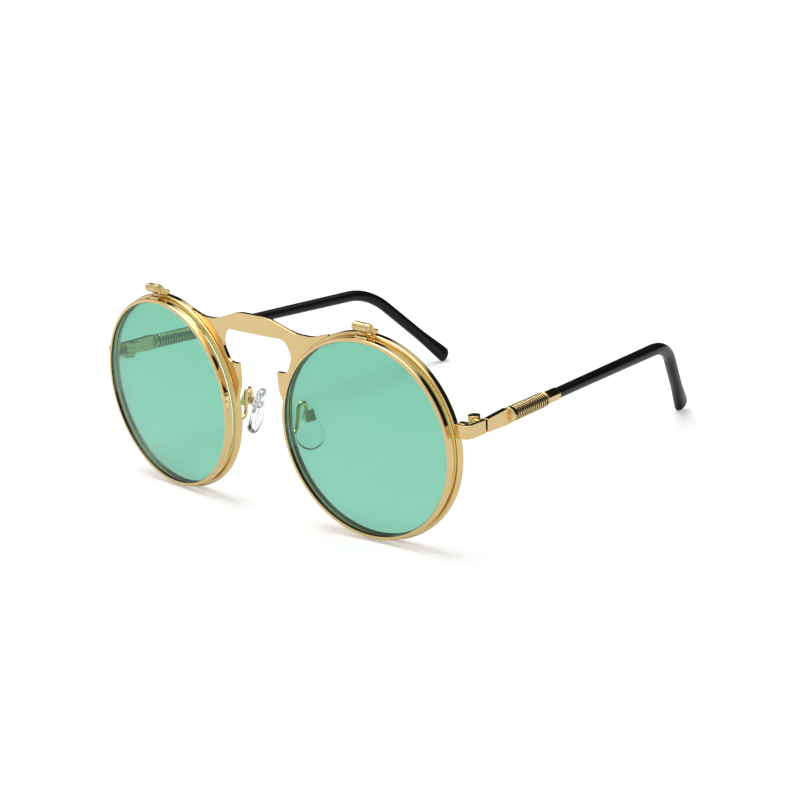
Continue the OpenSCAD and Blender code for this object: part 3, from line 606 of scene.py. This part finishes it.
def bridge_plate():
    """The stamped plate: its outline, drawn out, cut into strips and bent round the brow."""
    wing_x = EYE_X - 11.9
    wing_z = sqrt(FIXED_OUTER_R**2 - 11.9**2) + 0.5
    calf_z = (CUSP_Z + FOOT_Z) / 2
    bay_z = (OPENING_Z + CUSP_Z) / 2
    bay_x = rim_at(bay_z) - 3.1
    seat_r = FIXED_OUTER_R - 0.25
    seat_first = degrees(atan2(wing_z, wing_x - EYE_X))
    seat_last = degrees(atan2(FOOT_Z, rim_at(FOOT_Z) - EYE_X))
    seat = [(x, z, 0) for x, z in arc((EYE_X, 0), seat_r, seat_first, seat_last, 28)]
    half = [
        (5.3, CREST_Z, 14), (wing_x - 10.6, wing_z - 1.1, 14), (wing_x - 5.3, wing_z - 1.3, 10),
        (wing_x, wing_z, 0.2), *seat, (rim_at(FOOT_Z) - 0.3, FOOT_Z, 0.1),
        (rim_at(calf_z) - 3.5, calf_z, 8), (rim_at(CUSP_Z) - 5.8, CUSP_Z, 0.2),
        (rim_at(CUSP_Z) - 2.2, CUSP_Z, 2.2), (bay_x, bay_z, 4), (bay_x - 1.8, OPENING_Z, 3.4),
    ]
    other = [(-x, z, r) for x, z, r in reversed(half)]
    piece = plate(rounded(half + other, 8), BRIDGE_T)
    soften(piece, 0.16, 3, 25)
    edit(piece)
    for i in range(-21, 22):
        bpy.ops.mesh.select_all(action="SELECT")
        bpy.ops.mesh.bisect(plane_co=(i * 1.2, 0, 0), plane_no=(1, 0, 0))
    piece = moved(close_up(), turn("X", 90))

    def bend(p):
        return Vector((p.x, p.y + BRIDGE_IN + p.x**2 / 2 / BRIDGE_BEND_R, p.z))

    return reshape(piece, bend)


# Screws
def slotted(r, head_r, low, high, head_h):
    """A screw from low to high with a domed, slotted head on top."""
    ease = 0.1
    dome_r = 0.28 * head_h
    shank = [(0, low), (r - ease, low), (r, low + ease), (r, high)]
    head = [(head_r - 0.08, high), (head_r, high + 0.08)]
    dome = arc((head_r - dome_r, high + head_h - dome_r), dome_r, 0, 90, 4)
    screw = soften(lathe(shank + head + dome + [(0, high + 1.06 * head_h)], 40), 0.03, 1)
    slot = block((2.4 * head_r, 0.34 * head_r, head_h), (0, 0, high + 1.1 * head_h))
    return cut(screw, slot)


def flip_screw():
    ear_end = BARREL_L / 2 + EAR_PLAY + EAR_T
    head_r = BARREL_R - 0.1
    screw = slotted(FLIP_SCREW_R, head_r, low=-ear_end - 0.15, high=ear_end, head_h=0.6)
    return moved(screw, turn("Y", 90))


def lock_screw():
    reach = LOCK_GAP / 2 + LOCK_H
    place = shift(LOCK_W / 2 + LOCK_SCREW_OUT, LOCK_D / 2, 0) @ turn("X", 180)
    return moved(slotted(LOCK_SCREW_R, head_r=0.76, low=-reach, high=reach, head_h=0.5), place)


def temple_screw():
    half = HINGE_H / 2
    return slotted(TEMPLE_SCREW_R, head_r=KNUCKLE_R, low=-half, high=half, head_h=0.5)


def pad_screw():
    half = BOX_W / 2 + BOX_WALL
    place = shift(PAD_SCREW_OUT, 0, PAD_SCREW_UP) @ turn("X", -90)
    return moved(slotted(PAD_SCREW_R, head_r=0.72, low=-half - 0.1, high=half, head_h=0.4), place)


# Flip hinges, in the frame of the flip axis
def barrel(r, bore, low, high):
    """A roll with a bore, about the X axis, with eased ends."""
    ease = 0.12
    profile = [
        (bore, low + ease), (bore + ease, low), (r - ease, low), (r, low + ease),
        (r, high - ease), (r - ease, high), (bore + ease, high), (bore, high - ease),
    ]
    return moved(lathe(profile, 36, closed=True), turn("Y", 90))


def flip_bracket():
    """The foot on the flip rim, the plate with its window, and the barrel on top."""
    rim_top = FLIP_OUTER_R - FLIP_AXIS_R
    sunk = 0.3
    low = rim_top - sunk
    high = -sunk
    stem = block((BARREL_L, BRACKET_T, high - low), (0, 0, (high + low) / 2))
    edit(stem)
    bpy.ops.mesh.select_all(action="DESELECT")
    bpy.ops.object.mode_set(mode="OBJECT")
    for face in stem.data.polygons:
        face.select = abs(face.normal.y) > 0.9
    bpy.ops.object.mode_set(mode="EDIT")
    bpy.ops.mesh.select_mode(type="FACE")
    bpy.ops.mesh.inset(thickness=WINDOW_EDGE)
    bpy.ops.mesh.bridge_edge_loops()
    bpy.ops.mesh.select_mode(type="VERT")
    stem = soften(close_up(), 0.12, 2)
    foot_w = BARREL_L + 2 * FOOT_SPREAD
    foot = block((foot_w, BRACKET_T, FOOT_T + sunk), (0, 0, rim_top + (FOOT_T - sunk) / 2))
    soften(foot, 0.2, 3)
    return join(stem, foot, barrel(BARREL_R, FLIP_SCREW_R, -BARREL_L / 2, BARREL_L / 2))


def flip_base():
    """The block on the fixed rim, and the two ears that reach forward to the flip axis."""
    ear_in = BARREL_L / 2 + EAR_PLAY
    ear_end = ear_in + EAR_T
    near = FIXED_MID - BASE_T / 2 - FLIP_AXIS_IN
    far = near + BASE_T
    top = FIXED_OUTER_R + BASE_H - FLIP_AXIS_R
    low = FIXED_OUTER_R - 0.3 - FLIP_AXIS_R
    base_w = 2 * (ear_end + BASE_SPREAD)
    base = block((base_w, BASE_T, top - low), (0, (near + far) / 2, (top + low) / 2))
    soften(base, 0.25, 3)
    outline = arc((0, 0), BARREL_R, 60, 285, 16)
    outline += [(near, low), (far - 0.2, low), (far - 0.2, top), (near + 0.5, top + 0.5)]
    ears = []
    for start in (-ear_end, ear_in):
        ear = plate(outline, EAR_T, low=start)
        moved(ear, STANDING)
        ears.append(soften(ear, 0.12, 2))
    return join(base, *ears)


# End pieces, rim locks and temple hinges, in the frame of the hinge's axis
def end_piece():
    """The strip that leaves the rim, turns its corner and runs back to the seam."""
    root_x = END_ROOT.x - HINGE.translation.x
    outer_x = TEMPLE_OFFSET + LUG_T / 2
    inner_x = outer_x - END_T
    start = root_x - 0.4
    slope = tan(radians(WRAP))

    def face(x, side):
        return -END_RUN + side * END_T / 2 + (x - root_x) * slope

    outline = rounded([
        (start, face(start, -1), 0), (outer_x, face(outer_x, -1), 1.7), (outer_x, -SEAM / 2, 0.1),
        (inner_x, -SEAM / 2, 0.1), (inner_x, face(inner_x, 1), 0.5), (start, face(start, 1), 0),
    ], 8)
    return soften(plate(outline, END_H), 0.2, 3)


def lock_blocks():
    blocks = []
    for side in (-1, 1):
        centre = (LOCK_W / 2 - 0.15, LOCK_D / 2, side * (LOCK_GAP + LOCK_H) / 2)
        blocks.append(soften(block((LOCK_W + 0.3, LOCK_D, LOCK_H), centre), 0.2, 3))
    return join(*blocks)


def knuckle(low, face_x, y_from, y_to):
    """One knuckle about Z, and the arm that ties it to its leaf."""
    high = low + (HINGE_H - KNUCKLE_PLAY) / 3
    roll = moved(barrel(KNUCKLE_R, TEMPLE_SCREW_R, low, high), turn("Y", -90))
    size = (face_x, abs(y_to - y_from), high - low - 0.1)
    arm = block(size, (face_x / 2, (y_from + y_to) / 2, (low + high) / 2))
    return join(soften(arm, 0.08, 1), roll)


def front_leaf():
    face_x = TEMPLE_OFFSET + LUG_T / 2 - END_T
    far = -END_RUN + END_T / 2 + LOCK_D + LEAF_INSET
    near = -SEAM / 2
    size = (LEAF_T, near - far, END_H - 2 * LEAF_INSET)
    leaf = soften(block(size, (face_x - LEAF_T / 2, (far + near) / 2, 0)), 0.12, 2)
    top_low = HINGE_H / 2 - (HINGE_H - KNUCKLE_PLAY) / 3
    knuckles = [knuckle(low, face_x, -1.5, near) for low in (-HINGE_H / 2, top_low)]
    return join(leaf, *knuckles)


def temple_leaf():
    face_x = TEMPLE_OFFSET - LUG_T / 2
    near = SEAM / 2
    size = (LEAF_T, LEAF_L - near, LUG_FRONT_H - 2 * LEAF_INSET)
    leaf = soften(block(size, (face_x - LEAF_T / 2, (LEAF_L + near) / 2, 0)), 0.2, 3)
    return join(leaf, knuckle(-(HINGE_H - KNUCKLE_PLAY) / 6, face_x, near, 1.5))


# Temples: along the temple's line, Z runs back and Y points down
def temple_lug():
    """The flat lug that widens to the coil, its collar, and the rod that the coil is wound on."""
    collar = LUG_L - COLLAR_L
    widest = collar - 1.4
    into = collar + 0.4
    half = [
        (SEAM / 2, LUG_FRONT_H / 2, 0.1), (widest, LUG_BACK_H / 2, 0.9), (into, COIL_R - 0.15, 0.1),
    ]
    outline = [(x, -y, r) for x, y, r in half] + half[::-1]
    strip = soften(plate(rounded(outline, 8), LUG_T), 0.22, 3)
    moved(strip, BACK_ALONG)
    rod = lathe([
        (0, collar), (COIL_R - 0.25, collar), (COIL_R, collar + 0.2), (COIL_R, LUG_L - 0.1),
        (COIL_R - 0.1, LUG_L), (ROD_R, LUG_L), (ROD_R, LUG_L + COIL_L), (0, LUG_L + COIL_L),
    ], 40)
    return join(strip, rod)


def temple_coil():
    """Wire wound turn against turn round the rod."""
    pitch = COIL_L / (COIL_TURNS + 1)
    bpy.ops.object.select_all(action="DESELECT")
    bpy.ops.mesh.primitive_circle_add(
        vertices=24, radius=COIL_WIRE_R, rotation=(pi / 2, 0, 0),
        location=(COIL_R - COIL_WIRE_R, 0, COIL_WIRE_R),
    )
    bpy.ops.object.transform_apply(location=True, rotation=True, scale=True)
    section = bpy.context.object
    apply(
        section, "SCREW", screw_offset=pitch, iterations=COIL_TURNS, steps=40, render_steps=40,
        use_merge_vertices=False,
    )
    edit(section)
    bpy.ops.mesh.fill_holes(sides=0)
    return moved(close_up(), shift(0, 0, LUG_L))


def temple_ferrule():
    """The tube behind the coil: its lip, its body, and the mouth that takes the sleeve."""
    start = LUG_L + COIL_L
    end = start + FERRULE_L
    core_r = 1
    ease = 0.1
    lip = [
        (FERRULE_LIP_R - ease, start), (FERRULE_LIP_R, start + 0.12), (FERRULE_LIP_R, start + 0.5),
        (FERRULE_LIP_R - ease, start + 0.62),
    ]
    body = [
        (FERRULE_R - 0.05, start + 0.66), (FERRULE_R, start + 0.8), (FERRULE_R, end - 0.25),
        (FERRULE_R - 0.08, end - 0.06),
    ]
    mouth = [(SLEEVE_R + 0.06, end), (SLEEVE_R + 0.02, end - 0.3), (core_r, end - SLEEVE_IN)]
    return lathe([(core_r, start)] + lip + body + mouth, 48, closed=True)


def temple_sleeve():
    """The ear sleeve: turned straight, spread into its paddle, and bent round the ear."""
    mouth = LUG_L + COIL_L + FERRULE_L
    start = mouth - SLEEVE_IN
    bend_tangent = BEND_R * tan(radians(BEND_ANGLE / 2))
    bend_start = BEND_AT - bend_tangent
    bend_length = BEND_R * radians(BEND_ANGLE)
    straight_end = bend_start + bend_length + EAR_L - bend_tangent
    spread_start = straight_end - PADDLE_L
    tip = straight_end + PADDLE_T

    def radius(z):
        swell = min(max((z - mouth - 1.6) / (bend_start - mouth - 1.6), 0), 1)
        return SLEEVE_R + (SLEEVE_BEND_R - SLEEVE_R) * swell

    stations = [start + (spread_start - start) * i / 70 for i in range(71)]
    stations += [spread_start + (straight_end - spread_start) * i / 20 for i in range(1, 21)]
    body = [(radius(z), z) for z in stations]
    end = [
        (radius(tip) * cos(radians(a)), straight_end + PADDLE_T * sin(radians(a)))
        for a in range(10, 90, 10)
    ]
    sleeve = lathe([(0, start), (SLEEVE_R - 0.1, start)] + body + end + [(0, tip)], 40)

    def spread(p):
        """Widens the end across and flattens it."""
        t = min(max((p.z - spread_start) / PADDLE_L, 0), 1)
        t = t * t * (3 - 2 * t) * 0.6 + t * 0.4
        flat = 1 + t * (PADDLE_T / SLEEVE_BEND_R - 1)
        wide = 1 + t * (PADDLE_W / SLEEVE_BEND_R - 1)
        return Vector((p.x * flat, p.y * wide, p.z))

    def bend(p):
        """Takes the straight sleeve round the ear bend, down along Y."""
        angle = min(max((p.z - bend_start) / BEND_R, 0), radians(BEND_ANGLE))
        past = max(p.z - bend_start - bend_length, 0)
        ahead = min(p.z, bend_start)
        reach = BEND_R - p.y
        down = BEND_R - reach * cos(angle) + past * sin(angle)
        return Vector((p.x, down, ahead + reach * sin(angle) + past * cos(angle)))

    reshape(sleeve, spread)
    reshape(sleeve, bend)
    return moved(sleeve, turn("Z", BEND_ROLL))


# Nose pads
def pad_arm_route():
    """The swan neck from the fixed rim to the pad box, as points of the front's frame."""
    to_front = FRONT.inverted()
    root_r = FIXED_INNER_R + (FIXED_OUTER_R - FIXED_INNER_R) * 0.55
    below = radians(7.4)
    foot = to_front @ EYE @ Vector(
        (-root_r * cos(below), FIXED_FRONT + FIXED_DEPTH - 0.15, -root_r * sin(below))
    )
    box_top = PAD_SCREW_UP + BOX_H / 2 + BOX_WALL
    end = to_front @ PAD @ Vector((PAD_SCREW_OUT + 0.35, 0, box_top - BOX_WALL / 2))
    mid_y = (foot.y + end.y) / 2
    stand = (mid_y - foot.y) * 0.7
    top_z = end.z + 2.6
    return [
        foot, foot + Vector((0, stand * 0.5, 0.1)), foot + Vector((0, stand, 0.5)),
        Vector((foot.x, foot.y + stand * 1.35, (foot.z + end.z) / 2)),
        Vector(((foot.x + end.x) / 2, mid_y + 0.1, top_z - 0.6)),
        Vector((end.x - 0.1, end.y - 0.9, top_z + 0.4)),
        Vector((end.x, end.y + 0.3, top_z - 0.6)), end,
    ]


def pad_arm():
    """The swan-neck wire and the box for the pad's lug."""
    to_pad = PAD.inverted() @ FRONT
    neck = wire([to_pad @ p for p in pad_arm_route()], ARM_R)
    width = BOX_W + 2 * BOX_WALL
    height = BOX_H + 2 * BOX_WALL
    mouth = PAD_SCREW_OUT - 0.75
    back = PAD_SCREW_OUT + 0.75 + BOX_WALL
    box = block((back - mouth, width, height), ((mouth + back) / 2, 0, PAD_SCREW_UP))
    # Known fault: the block's points are still all selected here, so instead of its mouth
    # being pressed in, the whole block moves and stays closed.
    for face in box.data.polygons:
        face.select = face.normal.x < -0.9
    bpy.ops.object.mode_set(mode="EDIT")
    bpy.ops.mesh.select_mode(type="FACE")
    bpy.ops.mesh.inset(thickness=BOX_WALL)
    bpy.ops.transform.translate(value=(back - mouth - BOX_WALL, 0, 0))
    bpy.ops.mesh.select_mode(type="VERT")
    box = soften(close_up(), 0.1, 2)
    return join(box, neck)


def nose_pad():
    """The teardrop pad, softly rounded all over, and the lug inside it for its screw."""
    low = -PAD_L / 2 + PAD_LOW_R
    high = PAD_L / 2 - PAD_HIGH_R
    lean = degrees(asin((PAD_LOW_R - PAD_HIGH_R) / (high - low)))
    outline = arc((0, high), PAD_HIGH_R, lean, 180 - lean, 18)
    outline += arc((0, low), PAD_LOW_R, 180 - lean, 360 + lean, 26)
    drop = soften(plate(outline, PAD_T), 0.9, 6, 50)
    moved(drop, STANDING)
    reshape(drop, lambda p: Vector((p.x + PAD_BOW * (1 - (2 * p.z / PAD_L) ** 2), p.y, p.z)))
    lug_w = BOX_W - 0.1
    lug = block((PAD_SCREW_OUT, lug_w, 1.3), (PAD_SCREW_OUT / 2, 0, PAD_SCREW_UP))
    roll = moved(barrel(0.7, PAD_SCREW_R, -lug_w / 2, lug_w / 2), turn("Z", 90))
    return join(drop, soften(lug, 0.15, 2), moved(roll, shift(PAD_SCREW_OUT, 0, PAD_SCREW_UP)))


# Putting the pieces in place
def put(piece, node, place, body, material, smooth=40, shaded=None):
    """Places a piece, in metres in the frame of the CAD model, for the node that it replaces; the
    faces that shaded picks get painted shade in near-black gold.
    """
    mesh = piece.data
    # These faces get the near-black gold as painted shade
    dark = [face.index for face in mesh.polygons if shaded and shaded(face)]
    mesh.transform(METRES @ place)
    if place.determinant() < 0:
        mesh.flip_normals()
    mesh.materials.clear()
    mesh.materials.append(material)
    if dark:
        mesh.materials.append(PAINTED_SHADE_GOLD)
        for index in dark:
            mesh.polygons[index].material_index = 1
    piece.name = f"finished_{node}"
    bpy.ops.object.select_all(action="DESELECT")
    piece.select_set(True)
    bpy.context.view_layer.objects.active = piece
    bpy.ops.object.shade_smooth_by_angle(angle=radians(smooth))
    apply(piece, "WEIGHTED_NORMAL", keep_sharp=True, weight=60)
    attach(piece, body)
    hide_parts(node)
    return piece


def put_pair(build, body, material, place, smooth=40, shaded=None):
    """Models a piece for each side and puts it there; its node and its function share a name."""
    for side in SIDES:
        here = place(side) if callable(place) else place
        if side == "right":
            here = MIRROR @ here
        rides = f"{body}_{side}" if body != "front" else body
        made = put(build(), f"{build.__name__}_{side}", here, rides, material, smooth, shaded)
        if material in (TINTED, CLEAR, SILICONE):
            made.visible_shadow = False


# The faces of a piece that get the near-black gold of painted shade
def facing_in(face):
    """The inner wall and groove of a rim, where painted shade darkens the gold."""
    across = Vector((face.center.x, face.center.y))
    inwards = -face.normal.xy.dot(across.normalized())
    return across.length < FIXED_INNER_R + BEVEL_H and inwards > 0.5


def inside_window(face):
    """The walls of the window in a flip bracket's plate, where painted shade darkens the gold."""
    low = FLIP_OUTER_R + FOOT_T - FLIP_AXIS_R
    in_plate = low < face.center.z < -0.5 and abs(face.center.x) < BARREL_L / 2 - WINDOW_EDGE + 0.1
    return in_plate and abs(face.normal.y) < 0.5


def between_turns(face):
    """The sides of the coil's wire, where one turn meets the next and painted shade darkens the
    gold.
    """
    return Vector((face.center.x, face.center.y)).length < COIL_R - 0.2 * COIL_WIRE_R


# Places that differ from side to side
def flip_screw_place(side):
    """Both flip screws have their heads on the wearer's left."""
    return FLIP_AXIS if side == "left" else FLIP_AXIS @ MIRROR


def along_temple(side):
    return temple_place(side, along=True)


# Camera
def make_camera():
    """The photograph's camera, found from the circles and edges that it shows."""
    a, e = radians(CAMERA_TURN), radians(CAMERA_RISE)
    right = Vector((cos(a), sin(a), 0))
    back = Vector((sin(a) * cos(e), -cos(a) * cos(e), sin(e)))
    up = back.cross(right)
    roll = Matrix.Rotation(radians(CAMERA_ROLL), 3, back)
    right = roll @ right
    up = roll @ up
    aside, above = CAMERA_SHIFT
    place = Vector(CAMERA_AIM) + aside * right + above * up + CAMERA_DISTANCE * back
    data = bpy.data.cameras.new("camera")
    data.lens = CAMERA_LENS
    camera = bpy.data.objects.new("camera", data)
    bpy.context.scene.collection.objects.link(camera)
    columns = Matrix((right, up, back)).transposed()
    camera.matrix_world = Matrix.Translation(place) @ columns.to_4x4()
    bpy.context.scene.camera = camera


# Studio
def either_ray(tree, first, second):
    """1 for two kinds of ray, to give them a look of the studio of their own."""
    path = tree.nodes.new("ShaderNodeLightPath")
    larger = add_node(tree, "ShaderNodeMath", operation="MAXIMUM")
    tree.links.new(path.outputs[first], larger.inputs[0])
    tree.links.new(path.outputs[second], larger.inputs[1])
    return larger.outputs[0]


def add_ramp(tree, source, start, end, low, high):
    """A number that goes smoothly from low to high as its source goes from start to end."""
    ramp = add_node(tree, "ShaderNodeMapRange", interpolation_type="SMOOTHSTEP")
    for name, value in (("From Min", start), ("From Max", end), ("To Min", low), ("To Max", high)):
        ramp.inputs[name].default_value = value
    tree.links.new(source, ramp.inputs["Value"])
    return ramp.outputs["Result"]


def add_mix(tree, share, low, high):
    """A number between two others, each a value or a socket."""
    mix = add_node(tree, "ShaderNodeMix")
    tree.links.new(share, mix.inputs[0])
    for given, socket in ((low, mix.inputs[2]), (high, mix.inputs[3])):
        if isinstance(given, (int, float)):
            socket.default_value = given
        else:
            tree.links.new(given, socket)
    return mix.outputs[0]


def make_world(light, gloss, dark, overhead):
    """A tent of soft light; gloss and glass see a dark back wall and a bright roof in it."""
    world = bpy.data.worlds.new("studio")
    bpy.context.scene.world = world
    world.use_nodes = True
    tree = world.node_tree
    link = tree.links.new
    background = tree.nodes["Background"]
    background.inputs["Color"].default_value = (1, 1, 1, 1)
    way = add_node(tree, "ShaderNodeSeparateXYZ")
    link(add_node(tree, "ShaderNodeTexCoord").outputs["Generated"], way.inputs["Vector"])
    wall = add_node(tree, "ShaderNodeMath", operation="MULTIPLY")
    link(add_ramp(tree, way.outputs["Y"], 0.2, 0.4, 0, 1), wall.inputs[0])
    link(add_ramp(tree, way.outputs["Z"], 0.6, 0.68, 1, 0), wall.inputs[1])
    roof = add_ramp(tree, way.outputs["Z"], 0.66, 0.9, gloss, overhead)
    reflected = add_mix(tree, wall.outputs[0], roof, dark)
    polished = either_ray(tree, "Is Glossy Ray", "Is Transmission Ray")
    link(add_mix(tree, polished, light, reflected), background.inputs["Strength"])


def make_floor(colour, near_lift, far_lift):
    """A white table that keeps the shadows; its lift, more far off, makes it white throughout."""
    bpy.ops.object.select_all(action="DESELECT")
    bpy.ops.mesh.primitive_plane_add(size=6)
    floor = bpy.context.object
    floor.name = "table"
    material, tree, shader = new_material("white table", Roughness=0.9, Specular_IOR_Level=0)
    shader.inputs["Base Color"].default_value = (colour, colour, colour, 1)
    shader.inputs["Emission Color"].default_value = (1, 1, 1, 1)
    distance = add_node(tree, "ShaderNodeVectorMath", operation="LENGTH")
    tree.links.new(add_node(tree, "ShaderNodeTexCoord").outputs["Object"], distance.inputs[0])
    lift = add_ramp(tree, distance.outputs["Value"], 0.3, 1.8, near_lift, far_lift)
    glow = add_node(tree, "ShaderNodeMath", operation="MULTIPLY")
    tree.links.new(lift, glow.inputs[1])
    tree.links.new(either_ray(tree, "Is Camera Ray", "Is Transmission Ray"), glow.inputs[0])
    tree.links.new(glow.outputs[0], shader.inputs["Emission Strength"])
    floor.data.materials.append(material)


def make_softbox(name, place, aim, size, power):
    data = bpy.data.lights.new(name, "AREA")
    data.shape = "RECTANGLE"
    data.size, data.size_y = size
    data.energy = power
    light = bpy.data.objects.new(name, data)
    bpy.context.scene.collection.objects.link(light)
    way = (Vector(place) - Vector(aim)).normalized()
    facing = way.to_track_quat("Z", "Y").to_matrix().to_4x4()
    light.matrix_world = Matrix.Translation(place) @ facing


make_camera()

put(bridge_plate(), "bridge_plate", FRONT, "front", GOLD, 30)
# Rims, flip brackets and coils get painted shade in near-black gold on the faces that their shaded
# rule picks
put_pair(fixed_rim, "front", GOLD, RING, shaded=facing_in)
put_pair(fixed_lens, "front", CLEAR, RING)
put_pair(flip_rim, "flip", GOLD, RING, shaded=facing_in)
put_pair(flip_lens, "flip", TINTED, RING)
put_pair(flip_bracket, "flip", GOLD, FLIP_AXIS, shaded=inside_window)
put_pair(flip_base, "front", GOLD, FLIP_AXIS)
put_pair(flip_screw, "front", SCREW_GOLD, flip_screw_place)
put_pair(end_piece, "front", GOLD, HINGE)
put_pair(lock_blocks, "front", GOLD, LOCK)
put_pair(lock_screw, "front", SCREW_GOLD, LOCK)
put_pair(front_leaf, "front", GOLD, HINGE)
put_pair(temple_leaf, "temple", GOLD, temple_place)
put_pair(temple_screw, "front", SCREW_GOLD, HINGE)
put_pair(temple_lug, "temple", GOLD, along_temple)
put_pair(temple_coil, "temple", COIL_GOLD, along_temple, 60, between_turns)
put_pair(temple_ferrule, "temple", GOLD, along_temple)
put_pair(temple_sleeve, "temple", SLEEVE, along_temple)
put_pair(pad_arm, "front", GOLD, PAD)
put_pair(nose_pad, "pad", SILICONE, PAD)
put_pair(pad_screw, "front", SCREW_GOLD, PAD)

make_world(light=0.5, gloss=0.66, dark=0.012, overhead=1.9)
make_floor(0.9, 0.32, 0.66)
make_softbox("key softbox", (-0.3, -0.1, 1.4), (0, 0, 0), (0.9, 0.9), 10)

bpy.context.scene.view_settings.view_transform = "Standard"
